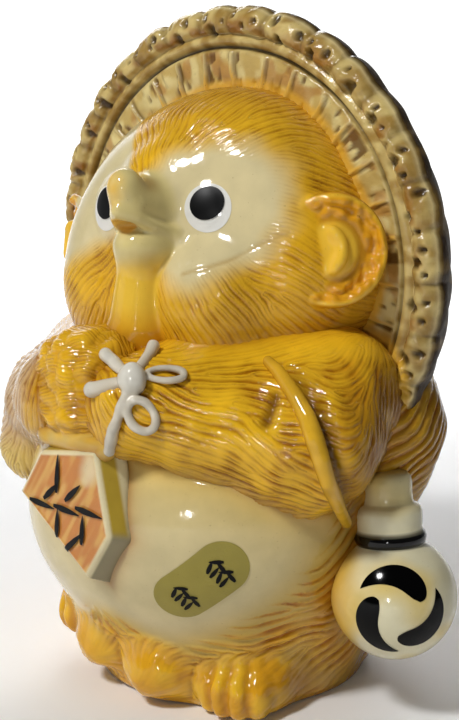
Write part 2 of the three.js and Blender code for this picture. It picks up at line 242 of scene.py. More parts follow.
def muzzle_field(q):
    gap = blend(limb(q, *BRIDGE_OF_NOSE), limb(q, *MUZZLE), 5)
    gap = blend(gap, egg(q, *NOSE), 1.5)
    gap = blend(gap, chain(mirrored(q), UPPER_LIP, UPPER_LIP_ROLL), 1.2)
    return carve(gap, egg(q, *MOUTH), 0.8)


def chin_field(q):
    """Lower jaw, flat on top at the lip, over the narrow chin."""
    over = LIP_LEVEL - LIP_FALL * (q[:, 1] + 47) - q[:, 2]
    jaw = carve(egg(q, *JAW), over, 0.8)
    return blend(limb(q, *CHIN), jaw, 6)


def head_field(p):
    q = faced(p)
    skull = blend(egg(p, *CRANIUM), egg(p, *FOREHEAD), 8)
    skull = blend(skull, egg(p, *JOWL), 22)
    skull = carve(skull, q[:, 1] + FACE_PLANE, FACE_BLEND)
    skull = blend(skull, egg(q, *BROW), 5)
    cheeks = np.minimum(egg(p, *CHEEKS[0]), egg(p, *CHEEKS[1]))
    gap = blend(skull, cheeks, 5)
    gap = blend(gap, eye_ball(mirrored(q)), 0.6)
    gap = blend(gap, muzzle_field(q), 4)
    gap = blend(gap, chin_field(q), 1.6)
    return blend(gap, ear_field(p), 1)


def ear_frame():
    """Middle of the ear, the way it faces and the way to its outer edge."""
    out = unit(EAR_OUT)
    return np.array(EAR_AT, float), out, unit(np.cross((0, 0, 1), out))


def ear_field(p):
    at, out, side = ear_frame()
    q = mirrored(p)
    q = q + np.float32(out) * 7 * smooth(3, -13, (q - at) @ side)[:, None].astype(np.float32)
    gap = disc_of(q, at - out * 2, out, EAR_RIM + 1, 3.6)
    gap = blend(gap, ring(q, at + out * 0.6, out, EAR_RIM, 1.7), 1)
    fold = ring(q, at + out * 1.4 - side * 3.4, out, EAR_FOLD, 1.9)
    gap = blend(gap, carve(fold, (q - at) @ np.float32(side) + 1.5, 2), 1)
    return carve(gap, ring(q, at + out * 1.8, out, EAR_GROOVE, 1.5), 0.8)


def trunk_field(p):
    gap = blend(egg(p, *BELLY), egg(p, *TRUNK), TRUNK_BLEND)
    gap = blend(gap, limb(p, *TRUNK_FOOT), TRUNK_BLEND)
    gap = blend(gap, egg(mirrored(p), *SHOULDER), TRUNK_BLEND)
    gap = blend(gap, egg(p, *TAIL), 3)
    gap = blend(gap, bags_field(p), 5)
    return stand(p, blend(gap, paws_field(p), 5))


def arm_field(p):
    q = mirrored(p)
    upper = limb(q, SHOULDER_JOINT, ELBOW, (15.4, 16.5))
    fore = limb(q, ELBOW, WRIST, (16.5, 14))
    gap = blend(upper, fore, 10)
    gap = blend(gap, limb(q, *COLLAR), 8)
    return blend(gap, egg(p, *ELBOW_TUFT), 4)


def hands_field(p):
    gap = blend(limb(p, *PALMS[0]), limb(p, *PALMS[1]), 8)
    return blend(gap, chain(p, CUFF, CUFF_ROLL), 1)


def toes_of(p, at, radii):
    """One distance for each toe of a paw."""
    gaps = []
    for toe in range(4):
        turn = 0.3 + 0.42 * (toe - 1.5)
        x = at[0] + math.copysign(1, at[0]) * math.sin(turn) * 0.78 * radii[0]
        y = at[1] - math.cos(turn) * 0.8 * radii[1]
        gaps.append(egg(p, (x, y, at[2] - 1), (4.4, 5.4, 6.8)))
    return gaps


def paws_field(p):
    gap = None
    for at, radii in PAWS:
        paw = egg(p, at, radii)
        for toe in toes_of(p, at, radii):
            paw = blend(paw, toe, 1.2)
        gap = paw if gap is None else np.minimum(gap, paw)
    return gap


def bags_field(p):
    return blend(egg(p, *BAGS[0]), egg(p, *BAGS[1]), 1.5)


def strap_field(p):
    return chain(p, STRAP_LINE, STRAP_ROLL)


def flask_field(p):
    ball = egg(p, FLASK_AT, (FLASK_BALL,) * 3)
    lean = np.array([-FLASK_LEAN, 0, 1])
    neck = limb(p, FLASK_AT + lean * FLASK_BALL, FLASK_AT + lean * 22, (FLASK_NECK, FLASK_NECK))
    return np.minimum(ball, neck)


def bow_field(p):
    gap = egg(p, KNOT, (4, 3.4, 4.3))
    for end, radius in zip(BOW_ENDS, BOW_END_ROLL):
        gap = blend(gap, limb(p, KNOT, end, (1.1, radius)), BOW_BLEND)
    gap = blend(gap, chain(p, (KNOT, *BOW_TAIL), BOW_TAIL_ROLL), BOW_BLEND)
    for start, end, size, faces in zip(BOW_LOOPS[::2], BOW_LOOPS[1::2], BOW_LOOP_SIZES, BOW_FACES):
        gap = blend(gap, loop(p, start, end, *size, faces), BOW_BLEND)
    return gap


def plaque_frame():
    out = unit(PLAQUE_OUT)
    up = np.array(PLAQUE_UP) - out * (np.array(PLAQUE_UP) @ out)
    up = unit(up)
    return np.cross(up, out), up, out


def plaque_field(p):
    across, up, out = plaque_frame()
    q = p - np.float32(PLAQUE_AT)
    x, y, z = np.abs(q @ across), q @ up, q @ out
    grow = np.clip(-z, 0, 8)
    sides = np.maximum(x - PLAQUE_HALF - 0.4 * grow, -y - 0.2 * grow)
    slope = unit(PLAQUE_SLOPE)
    roof = x * slope[0] + (y - PLAQUE_TOP) * slope[1] - 0.25 * grow
    edge = -blend(-sides, -roof, 1)
    return -blend(-edge * 0.9, -(np.abs(z + 5) - 5), 1.6)


# Surface nets: a field becomes an even mesh of quads

BLOCK = 8
CORNERS = np.array([(i, j, k) for i in (0, 1) for j in (0, 1) for k in (0, 1)])
CELL_EDGES = [(a, b) for a in range(8) for b in range(a, 8) if np.abs(CORNERS[a] - CORNERS[b]).sum() == 1]


def sample(field, low, step, counts):
    """The field on a grid, worked out in full only in the blocks near its surface."""
    blocks = np.stack(np.meshgrid(*[np.arange(n) for n in counts], indexing="ij"), -1).reshape(-1, 3)
    middle = field((low + (blocks + 0.5) * BLOCK * step).astype(np.float32))
    near = np.abs(middle) < BLOCK * step * 1.4 + step
    values = np.full(counts * BLOCK + 1, 99, np.float32)
    for (i, j, k), gap in zip(blocks[~near] * BLOCK, middle[~near]):
        if gap < 0:
            values[i:i + BLOCK + 1, j:j + BLOCK + 1, k:k + BLOCK + 1] = -99
    inner = np.stack(np.meshgrid(*[np.arange(BLOCK + 1)] * 3, indexing="ij"), -1).reshape(-1, 3)
    active = blocks[near] * BLOCK
    for start in range(0, len(active), 400):
        index = (active[start:start + 400, None] + inner).reshape(-1, 3)
        values[tuple(index.T)] = field((low + index * step).astype(np.float32))
    return values


def net(field, low, high, step):
    low = np.array(low, float)
    counts = np.ceil((np.array(high) - low) / step / BLOCK).astype(int)
    values = sample(field, low, step, counts)
    inside = values < 0
    size = np.array(values.shape)
    filled = np.zeros(size - 1, np.int8)
    for i, j, k in CORNERS:
        filled += inside[i:size[0] - 1 + i, j:size[1] - 1 + j, k:size[2] - 1 + k]
    cells = np.argwhere((filled > 0) & (filled < 8))
    numbers = np.full(size - 1, -1, np.int32)
    numbers[tuple(cells.T)] = np.arange(len(cells))
    corner = np.stack([values[tuple((cells + c).T)] for c in CORNERS], 1)
    place = np.zeros((len(cells), 3))
    crossings = np.zeros(len(cells))
    for a, b in CELL_EDGES:
        crossed = (corner[:, a] < 0) != (corner[:, b] < 0)
        span = np.where(crossed, corner[:, a] - corner[:, b], 1)
        share = (corner[:, a] / span)[:, None]
        place += np.where(crossed[:, None], CORNERS[a] + share * (CORNERS[b] - CORNERS[a]), 0)
        crossings += crossed
    points = low + (cells + place / crossings[:, None]) * step
    return points, net_faces(inside, numbers, size)


def net_faces(inside, numbers, size):
    faces = []
    for axis in range(3):
        first = np.take(inside, range(size[axis] - 1), axis)
        second = np.take(inside, range(1, size[axis]), axis)
        spots = np.argwhere(first != second)
        u, v = (axis + 1) % 3, (axis + 2) % 3
        room = (spots[:, u] > 0) & (spots[:, v] > 0)
        room &= (spots[:, u] < size[u] - 1) & (spots[:, v] < size[v] - 1)
        spots = spots[room]
        quad = []
        for du, dv in ((1, 1), (0, 1), (0, 0), (1, 0)):
            cell = spots.copy()
            cell[:, u] -= du
            cell[:, v] -= dv
            quad.append(numbers[tuple(cell.T)])
        quad = np.stack(quad, 1)
        turned = ~first[tuple(spots.T)]
        quad[turned] = quad[turned][:, ::-1]
        faces.append(quad)
    return np.concatenate(faces)


def slope_of(field, points, reach=0.05):
    slope = np.empty_like(points)
    for axis in range(3):
        nudge = np.zeros(3)
        nudge[axis] = reach
        slope[:, axis] = (field(points + nudge) - field(points - nudge)) / (2 * reach)
    return slope


def settle(field, points, rounds=3):
    """Draws points onto the surface and returns them with its normals."""
    for _ in range(rounds):
        slope = slope_of(field, points)
        points = points - (field(points) / ((slope * slope).sum(1) + 1e-6))[:, None] * slope
    slope = slope_of(field, points)
    return points, slope / (np.linalg.norm(slope, axis=1)[:, None] + 1e-9)


def laid(points, field, lift):
    """Points moved along the surface's normal until they are a lift above it."""
    points = np.array(points, float)
    points, normals = settle(field, points, 8)
    return points + normals * lift


def thin_out(points, faces, keep):
    """Which points the kept faces use, and those faces with their points numbered afresh."""
    faces = faces[keep]
    used = np.zeros(len(points), bool)
    used[faces.ravel()] = True
    return used, (np.cumsum(used) - 1)[faces]


def coat_field(p):
    return np.minimum(arm_field(p), hands_field(p))


def side_field(p):
    return np.minimum(arm_field(p), trunk_field(p))


# Lines that lie on the surface

STRAP_LINE = laid(STRAP, side_field, 0.5)
SLIT = ((49.6, -33.4, 92.3), (50.3, -35.4, 90.1), (50.6, -37.4, 87.3), (50.5, -38.4, 85.5))
SLIT_LINE = laid(SLIT, arm_field, 0)
KNOT = laid(((21.5, -55.9, 95),), coat_field, 1.6)[0]
BOW_FACES = ((0.5, -0.47, 0.72), (0.6, -0.8, 0.1))
BOW_ENDS = laid(((9.6, -54, 100.6), (10.4, -58.4, 91.8), (17.1, -44, 101.6)), coat_field, 1)
BOW_END_ROLL = (1.8, 2.1, 1.7)
BOW_TAIL = laid(((21.2, -58.8, 89.8), (18.8, -59.8, 83.5), (14.9, -58.5, 76.8)), coat_field, 0.9)
BOW_TAIL_ROLL = (1.2, 1.3, 1.4, 1.6)
BOW_LOOP_ENDS = ((23.4, -52.5, 96.4), (30, -46.3, 96.3), (23, -57.7, 90.3), (27.5, -55.3, 83.7))
BOW_LOOPS = laid(BOW_LOOP_ENDS, coat_field, 0.9)
BOW_LOOP_SIZES = ((2, 0.9), (3.1, 1.15))
BOW_BLEND = 0.8

# Skins: meshed fields that meet each other with a fillet

FILLET = 3
SINK = 1.5


class Skin:
    """A meshed field, the gap to the parts that it meets, and its relief, paint and hair."""

    def __init__(self, field, low, high, step, neighbours, fillet=FILLET, crisp=()):
        points, faces = net(field, low, high, step)
        points, normals = settle(field, points)
        soft = np.full(len(points), 99.0)
        for other in neighbours:
            soft = np.minimum(soft, other(points))
        gap = soft
        for other in crisp:
            gap = np.minimum(gap, other(points))
        used, self.faces = thin_out(points, faces, (gap[faces] > -SINK).any(1))
        self.points = points[used]
        self.normals = normals[used]
        self.gap = gap[used]
        self.lift = np.maximum(fillet - np.abs(soft[used]), 0) ** 2 / (4 * fillet)
        self.paint = np.tile(YELLOW, (len(self.points), 1))
        self.hair = np.zeros((len(self.points), 3))

    def tint(self, tone, share):
        self.paint = mix(self.paint, tone, share)

    def shaped(self):
        return self.points + self.normals * self.lift[:, None]

    def cast(self, name, material):
        return cast_in(make_mesh(name, self.shaped(), self.faces, self.paint, self.hair), material)


# Fur: combed grooves that follow a flow over the surface


def grain(p, size, seed=0):
    """Smooth noise from 0 to 1 in lumps of about that size."""
    q = p / size + 7.31 * seed + 500
    cell = np.floor(q).astype(np.int64)
    share = q - cell
    share = share * share * (3 - 2 * share)
    total = np.zeros(len(p))
    for corner in CORNERS:
        spot = cell + corner
        key = spot[:, 0] * 73856093 ^ spot[:, 1] * 19349663 ^ spot[:, 2] * 83492791
        key = (key ^ key >> 13) * 1274126177 & 0xFFFFFFFF
        value = (key >> 9 & 0xFFFF) / 0xFFFF
        total += value * np.prod(np.where(corner, share, 1 - share), axis=1)
    return total


def dappled(p, first, second, size, low=0.35, high=0.75, seed=0):
    """One tone with patches of a second."""
    return mix(first, second, smooth(low, high, grain(p, size, seed)))


def flattened(skin, flow):
    """The flow laid flat on the skin, one unit long."""
    along = flow - skin.normals * (flow * skin.normals).sum(1)[:, None]
    return along / (np.linalg.norm(along, axis=1)[:, None] + 1e-9)


def comb(skin, flow, pitch, rounds=60):
    """Stripes from -1 to 1 that run along the flow, a pitch apart. Neighbours agree on their phase."""
    wave = np.cross(skin.normals, flattened(skin, flow)) * 2 * math.pi / pitch
    cells = np.floor(skin.points / (0.7 * pitch)).astype(int)
    spots = np.unique(cells, axis=0, return_index=True)[1]
    spots = spots[np.argsort(skin.points[spots] @ np.array([0.31, -0.52, 0.8]))]
    places, waves = skin.points[spots], wave[spots]
    tree = KDTree(len(spots))
    for number, place in enumerate(places):
        tree.insert(place, number)
    tree.balance()
    count = 14
    near = np.array([[found[1] for found in tree.find_n(place, count)] for place in places])
    gaps = places[:, None] - places[near]
    turn = ((waves[:, None] + waves[near]) / 2 * gaps).sum(2)
    weight = np.exp(-(gaps ** 2).sum(2) / (2 * pitch ** 2))
    weight *= np.maximum((waves[:, None] * waves[near]).sum(2), 0) * (pitch / (2 * math.pi)) ** 2
    weight[:, 0] = 0
    phase = np.zeros(len(spots))
    placed = np.zeros(len(spots), bool)
    for number in range(len(spots)):
        known = weight[number] * placed[near[number]]
        pull = (known * np.exp(1j * (phase[near[number]] + turn[number]))).sum()
        phase[number] = np.angle(pull) if abs(pull) > 1e-6 else 0
        placed[number] = True
    for _ in range(rounds):
        pull = (weight * np.exp(1j * (phase[near] + turn))).sum(1)
        phase = np.angle(pull + 0.3 * np.exp(1j * phase))
    close = np.array([[found[1] for found in tree.find_n(place, 5)] for place in skin.points])
    gaps = skin.points[:, None] - places[close]
    weight = np.exp(-(gaps ** 2).sum(2) / (2 * (0.6 * pitch) ** 2))
    signal = (weight * np.exp(1j * (phase[close] + (waves[close] * gaps).sum(2)))).sum(1)
    turn = np.angle(signal)
    skin.hair[:, 0] = np.cos(turn)
    skin.hair[:, 1] = np.sin(turn)
    return np.cos(turn) * np.abs(signal) / weight.sum(1)


def radial(skin, pole):
    out = skin.points - np.array(pole)
    return out / np.linalg.norm(out, axis=1)[:, None]


def swayed(skin, flow, size, strength, seed=0):
    """Turns the flow a little this way and that, so that the hair lies in locks."""
    along = flattened(skin, flow)
    side = np.cross(skin.normals, along)
    return along + side * (strength * (2 * grain(skin.points, size, seed) - 1))[:, None]


def groove(skin, stripes, depth, cover, ridge, valley, sharp=1.5):
    """Cuts the grooves into the skin and lets the darker glaze gather in them."""
    low = (0.5 + 0.5 * stripes) ** sharp * cover
    skin.lift -= depth * low
    tone = mix(ridge, valley, np.clip(low, 0, 1))
    skin.tint(tone, np.clip(cover, 0, 1))
    skin.hair[:, 2] = np.clip(cover, 0, 1)


def paint_flank_shade(skin, strength=0.55):
    """Painted shade: browner on the figure's left flank and behind, which face away from the light."""
    outward = skin.normals @ np.float32((0.85, 0.53, 0))
    skin.tint(FLANK_SHADE, strength * smooth(0.45, 1, outward))


def pool_and_shade(skin, tone=AMBER, reach=1.6, strength=0.85):
    """Dark glaze gathers where two forms meet, and painted shade darkens the same joins."""
    skin.tint(tone, strength * np.exp(-np.abs(skin.gap) / reach))


def cut_line(skin, points, wide, depth, tone, strength, fade=1):
    """A painted groove along a line of points."""
    gap = chain(skin.points, points, np.zeros(len(points)))
    line = np.exp(-(gap / wide) ** 2) * fade
    skin.lift -= depth * line
    skin.tint(tone, strength * line)


# Meshes and materials


def linked(name, data):
    """A new object in the scene that shows the data."""
    thing = bpy.data.objects.new(name, data)
    bpy.context.scene.collection.objects.link(thing)
    return thing


def smooth_mesh(name, points, faces):
    """A smooth-shaded mesh of points in millimetres."""
    mesh = bpy.data.meshes.new(name)
    mesh.from_pydata((points * MM).tolist(), [], faces)
    mesh.polygons.foreach_set("use_smooth", [True] * len(mesh.polygons))
    return mesh


def make_mesh(name, points, faces, paint, hair=None):
    mesh = smooth_mesh(name, points, faces.tolist())
    layer = mesh.color_attributes.new("paint", "FLOAT_COLOR", "POINT")
    colours = np.ones((len(points), 4))
    colours[:, :3] = np.clip(paint, 0, 1)
    layer.data.foreach_set("color", colours.ravel())
    if hair is not None:
        layer = mesh.attributes.new("hair", "FLOAT_VECTOR", "POINT")
        layer.data.foreach_set("vector", hair.ravel())
    mesh.update()
    return linked(name, mesh)


def cast_in(piece, material):
    """The piece belongs to the one casting and stands for its solid."""
    piece.data.materials.append(material)
    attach(piece, "root")
    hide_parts(NODE)
    return piece


class Shader:
    """Builds one material's nodes in few words."""

    def __init__(self, name):
        self.material = bpy.data.materials.new(name)
        self.material.use_nodes = True
        self.tree = self.material.node_tree
        self.surface = self.tree.nodes["Principled BSDF"]
        self.place = self.add("ShaderNodeTexCoord").outputs["Object"]

    def add(self, kind, inputs=None, **settings):
        node = self.tree.nodes.new(kind)
        for key, value in settings.items():
            setattr(node, key, value)
        for key, value in (inputs or {}).items():
            self.plug(value, node.inputs[key])
        return node

    def plug(self, value, socket):
        if isinstance(value, bpy.types.NodeSocket):
            self.tree.links.new(value, socket)
        else:
            socket.default_value = value

    def math(self, kind, *values):
        return self.add("ShaderNodeMath", dict(enumerate(values)), operation=kind).outputs[0]

    def noise(self, size, detail=2.0, low=0.0, high=1.0, out=(0.0, 1.0)):
        """Noise in lumps of a size in millimetres, stretched from low and high to a new range."""
        inputs = {"Vector": self.place, "Scale": 1 / (size * MM), "Detail": detail}
        noise = self.add("ShaderNodeTexNoise", inputs)
        inputs = {"Value": noise.outputs[0], "From Min": low, "From Max": high}
        inputs.update({"To Min": out[0], "To Max": out[1]})
        return self.add("ShaderNodeMapRange", inputs).outputs["Result"]

    def mix(self, first, second, share, kind="MIX"):
        node = self.add("ShaderNodeMix", data_type="RGBA", blend_type=kind)
        self.plug(share, node.inputs[0])
        self.plug(first, node.inputs[6])
        self.plug(second, node.inputs[7])
        return node.outputs[2]

    def bump(self, height, strength, distance):
        """Adds relief on top of the relief so far."""
        inputs = {"Height": height, "Strength": strength, "Distance": distance * MM}
        socket = self.surface.inputs["Normal"]
        if socket.is_linked:
            inputs["Normal"] = socket.links[0].from_socket
        self.plug(self.add("ShaderNodeBump", inputs).outputs[0], socket)

    def hair(self):
        """Fine strokes, two to each combed groove, that come and go."""
        vector = self.add("ShaderNodeAttribute", attribute_name="hair").outputs["Vector"]
        parts = self.add("ShaderNodeSeparateXYZ", {0: vector}).outputs
        turn = self.math("ARCTAN2", parts[1], parts[0])
        turn = self.math("MULTIPLY_ADD", turn, 2.0, self.noise(2.6, out=(-1.6, 1.6)))
        line = self.math("MULTIPLY_ADD", self.math("COSINE", turn), 0.5, 0.5)
        line = self.math("POWER", line, 1.6)
        line = self.math("MULTIPLY", line, self.noise(3.4, detail=1, low=0.35, high=0.65, out=(0.15, 1.0)))
        return self.math("MULTIPLY", line, parts[2])


def glazed(name, speck=rgb(120, 80, 30), speckle=0.35, roughness=0.09, bump=0.06, wave=3.0,
           colour=None, hair=False, shine=0.45):
    """Glossy glaze over painted clay, faintly mottled, with fine specks and a slightly wavy surface."""
    shader = Shader(name)
    if colour is None:
        base = shader.add("ShaderNodeAttribute", attribute_name="paint").outputs["Color"]
    else:
        base = tuple(colour) + (1,)
    mottle = shader.noise(9, detail=3, low=0.3, high=0.7, out=(0.9, 1.04))
    grey = shader.add("ShaderNodeCombineColor", {0: mottle, 1: mottle, 2: mottle}).outputs[0]
    tone = shader.mix(base, grey, 1.0, "MULTIPLY")
    specks = shader.noise(0.6, detail=1, low=0.74, high=0.80, out=(0.0, speckle))
    tone = shader.mix(tone, tuple(speck) + (1,), specks)
    shader.bump(shader.noise(wave, detail=2), bump, 1.0)
    if hair:
        line = shader.hair()
        tone = shader.mix(tone, tuple(AMBER * 0.8) + (1,), shader.math("MULTIPLY", line, 0.6))
        shader.bump(shader.math("MULTIPLY", line, -1.0), 1.0, 0.22)
    shader.plug(tone, shader.surface.inputs["Base Color"])
    shader.surface.inputs["Roughness"].default_value = roughness
    shader.surface.inputs["IOR"].default_value = 1.5
    shader.surface.inputs["Specular IOR Level"].default_value = shine
    return shader.material


# Decals: glaze painted in crisp shapes, laid just over the surface


class Canvas:
    """A flat frame in front of a surface, with shapes drawn in it and laid down onto the surface."""

    def __init__(self, at, right, out, field):
        self.at = np.array(at, float)
        self.out = unit(out)
        self.right = unit(np.array(right) - self.out * (np.array(right) @ self.out))
        self.up = np.cross(self.out, self.right)
        self.field = field

    def lay(self, flat, lift):
        points = self.at + flat[:, :1] * self.right + flat[:, 1:] * self.up + self.out * 6
        for _ in range(40):
            points = points - self.out * (0.7 * (self.field(points) - lift))[:, None]
        return points


def fan(outline, rings=10, columns=72):
    """A filled shape round the origin, from its radius at each angle."""
    turns = np.arange(columns) * 2 * math.pi / columns
    reach = outline(turns)
    rows = [np.zeros((1, 2))]
    for share in np.arange(1, rings + 1) / rings:
        rows.append(np.stack([np.cos(turns) * reach * share, np.sin(turns) * reach * share], 1))
    faces = [[0, 1 + i, 1 + (i + 1) % columns, 0] for i in range(columns)]
    for row in range(rings - 1):
        start = 1 + row * columns
        for i in range(columns):
            j = (i + 1) % columns
            faces.append([start + i, start + columns + i, start + columns + j, start + j])
    return np.concatenate(rows), faces


def ribbon(points, widths, steps=20, across=4):
    """A brush stroke along a smooth line through the points, with those half widths."""
    points = np.array(points, float)
    knots = np.linspace(0, 1, len(points))
    t = np.linspace(0, 1, steps)
    line = np.stack([np.interp(t, knots, points[:, i]) for i in (0, 1)], 1)
    for _ in range(3):
        line[1:-1] = (line[:-2] + 2 * line[1:-1] + line[2:]) / 4
    half = np.interp(t, knots, widths)
    along = np.gradient(line, axis=0)
    along /= np.linalg.norm(along, axis=1)[:, None] + 1e-9
    side = np.stack([-along[:, 1], along[:, 0]], 1) * half[:, None]
    rows = [line + side * s for s in np.linspace(-1, 1, across + 1)]
    flat = np.stack(rows, 1).reshape(-1, 2)
    faces = []
    for i in range(steps - 1):
        for j in range(across):
            a = i * (across + 1) + j
            faces.append([a, a + across + 1, a + across + 2, a + 1])
    return flat, faces


def decal(name, canvas, shapes, lift, material):
    """One piece made of several flat shapes."""
    points, faces, start = [], [], 0
    for flat, quads in shapes:
        points.append(canvas.lay(flat, lift))
        faces += [tuple(dict.fromkeys(start + i for i in quad)) for quad in quads]
        start += len(flat)
    mesh = smooth_mesh(name, np.concatenate(points), faces)
    return cast_in(linked(name, mesh), material)


def all_but(*left_out):
    """The large forms, apart from those named."""
    fields = (head_field, trunk_field, arm_field, hands_field, flask_field, plaque_field)
    return [field for field in fields if field not in left_out]


# Head

HEAD_NET = ((-66, -58, 84), (68, 48, 182), 0.6)
HEAD_PITCH = 2.2
WHORL = (0, -36, 142)
NOSE_TIP = (-3, -49.5, 143.5)
BRIDGE_SIDE = (4.8, -41, 146)
HEAD_GOLD = rgb(226, 174, 44)
CROWN_GLAZE_AND_SHADE = rgb(196, 144, 44)
TEMPLE_SHADE = rgb(222, 164, 36)
MUZZLE_CREAM = rgb(214, 196, 132)
JAW_YELLOW = rgb(232, 188, 66)
CHIN_GOLD = rgb(228, 168, 40)
NOSE_GOLD = rgb(232, 178, 60)
MOUTH_GOLD = rgb(228, 170, 50)
BRIDGE_SHADE = rgb(150, 118, 66)
SMILE_BROWN = rgb(186, 150, 84)
EAR_YELLOW = rgb(238, 188, 60)
EAR_GOLD = rgb(222, 156, 36)
EAR_CREASE = rgb(176, 112, 20)
EAR_BACK_SHADE = rgb(196, 134, 26)


def face_cream(p, q):
    """How much cream covers each point: a patch round the near eye and one over the far side."""
    x, y, z = q.T
    patch = 18 * (np.sqrt(((x - 18) / 19.5) ** 2 + ((z - 138.5) / 17) ** 2) - 1)
    patch = blend(patch, np.sqrt((x - 13) ** 2 + (z - 127) ** 2) - 9.5, 6)
    ragged = 4 * (grain(p, 6) - 0.5)
    near = smooth(5, -4, patch + ragged) * smooth(0, -12, y + 6)
    peak = x + 9 + 0.66 * np.maximum(z - 149, -13.6)
    low = 133 + 0.4 * (x + 8) - z
    far = smooth(1.2, -1.2, peak) * smooth(4, -4, low + ragged) * smooth(6, -8, y)
    return np.maximum(near, far)


def comb_head(skin, cream, lips, ear):
    """Fur that spreads from the nose and stops at the cream, the lips and the ears."""
    p = skin.points
    stripes = comb(skin, swayed(skin, radial(skin, unfaced(WHORL)), 8, 0.35), HEAD_PITCH)
    furry = smooth(0.4, 1.6, lips) * smooth(0.3, 1.2, ear)
    cover = (1 - cream) * furry * (0.3 + 0.7 * grain(p, 5))
    skin.paint = dappled(p, YELLOW, HEAD_GOLD, 16)
    # Darker towards the crown: browner glaze there, and painted shade by the hat
    skin.tint(CROWN_GLAZE_AND_SHADE, 0.7 * smooth(156, 172, p[:, 2]))
    # Painted shade: deeper gold on the head's side towards the figure's left, away from the light
    skin.tint(TEMPLE_SHADE, 0.6 * smooth(30, 52, p[:, 0]))
    groove(skin, stripes, 0.45, cover, skin.paint, AMBER)
    skin.tint(CREAM, cream)


def paint_muzzle(skin, q, lips):
    """Cream lips over a yellow chin, a golden nose and painted shade beside its bridge."""
    p, z = skin.points, q[:, 2]
    tone = mix(MUZZLE_CREAM, JAW_YELLOW, smooth(128, 120, z + 3 * (grain(p, 5, 3) - 0.5)))
    tone = mix(tone, CHIN_GOLD, smooth(114, 104, z))
    skin.tint(tone, smooth(1.4, -0.4, lips - 0.4))
    nose = smooth(4, 0.5, np.linalg.norm(q - NOSE_TIP, axis=1) - 3)
    nose = nose * (0.35 + 0.65 * grain(p, 2.6, 3))
    skin.tint(NOSE_GOLD, 0.85 * nose)
    # Painted shade beside the bridge of the nose
    skin.tint(BRIDGE_SHADE, 0.7 * smooth(5.5, 1, np.linalg.norm(q - BRIDGE_SIDE, axis=1)))
    mouth = smooth(0.9, 0.1, egg(q, *MOUTH)) * smooth(-3.5, -2, -q[:, 0] - 2)
    skin.tint(MOUTH_GOLD, 0.7 * mouth)


def bead_ears(skin, ear):
    """Small beads in the channel between each ear's rim and its fold."""
    at, out, _ = ear_frame()
    away = mirrored(skin.points) - at
    reach = np.linalg.norm(away - (away @ out)[:, None] * out, axis=1)
    on_ear = smooth(0.9, 0.2, ear) * smooth(-2.5, -1, away @ out)
    channel = smooth(8.4, 9.4, reach) * smooth(14.2, 13, reach)
    tone = mix(EAR_YELLOW, EAR_GOLD, channel)
    tone = mix(tone, EAR_CREASE, 0.8 * np.exp(-((reach - EAR_GROOVE) / 1.1) ** 2))
    # Painted shade on the outer side of the rim, by the gap to the hat
    tone = mix(tone, EAR_BACK_SHADE, smooth(EAR_RIM + 0.6, EAR_RIM + 1.6, reach))
    skin.tint(tone, on_ear)
    skin.lift += 2.4 * on_ear * channel * (grain(skin.points, 1.9, 4) - 0.5)


def make_head(glaze):
    skin = Skin(head_field, *HEAD_NET, all_but(head_field))
    q = faced(skin.points)
    lips = np.minimum(muzzle_field(q), chin_field(q))
    ear = ear_field(skin.points)
    comb_head(skin, face_cream(skin.points, q), lips, ear)
    paint_muzzle(skin, q, lips)
    cut_line(skin, laid(SMILE, head_field, 0), 0.5, 0.4, SMILE_BROWN, 0.6)
    bead_ears(skin, ear)
    pool_and_shade(skin, reach=2.2, strength=0.6)
    return skin.cast("head", glaze)


# Trunk, bags and paws

TRUNK_NET = ((-68, -66, -3), (68, 68, 126), 0.72)
TRUNK_PITCH = 3.2
TRUNK_FLOW = (0, 1, 0.45)
BELLY_REACH = 73
BELLY_CREAM = CREAM * 0.96
BELLY_EDGE = rgb(206, 172, 84)
BELLY_UNDER_ARM = rgb(226, 192, 92)
TRUNK_GOLD = rgb(226, 168, 44)
TRUNK_VALLEY = rgb(182, 110, 18)
FOOT_YELLOW = rgb(238, 184, 44)
FOOT_GOLD = rgb(222, 160, 34)
TOE_CREASE_SHADE = rgb(172, 104, 16)


def belly_border(p):
    """Negative on the bare belly, positive in the coat, in millimetres or so."""
    turn = np.degrees(np.arctan2(np.abs(p[:, 0]), 5 - p[:, 1]))
    height = 34 + 11 * smooth(2, 26, turn)
    return 25 * ((turn / BELLY_REACH) ** 2 + (np.maximum(60 - p[:, 2], 0) / height) ** 2 - 1)


def comb_trunk(skin, border, feet_gap, feet):
    """Long locks that end raggedly round the bare belly and fade out on the feet."""
    p = skin.points
    flow = swayed(skin, np.tile(TRUNK_FLOW, (len(p), 1)), 12, 0.6, 3)
    stripes = comb(skin, flow, TRUNK_PITCH)
    ragged = border + 3.5 * stripes + 4 * (grain(p, 7, 9) - 0.5)
    coat = np.maximum(smooth(-1, 3, ragged), smooth(5, 1, feet_gap))
    cover = coat * (0.35 + 0.9 * grain(p, 6)) * (1 - 0.85 * feet)
    skin.lift += coat * (0.8 + 2 * (grain(p, 8, 5) - 0.5))
    skin.lift *= 1 - feet
    skin.paint = np.tile(BELLY_CREAM, (len(p), 1))
    skin.tint(BELLY_EDGE, smooth(-10, 0, border))
    groove(skin, stripes, 0.9, cover, dappled(p, YELLOW, TRUNK_GOLD, 8, 0.35, 0.7, 8), TRUNK_VALLEY)


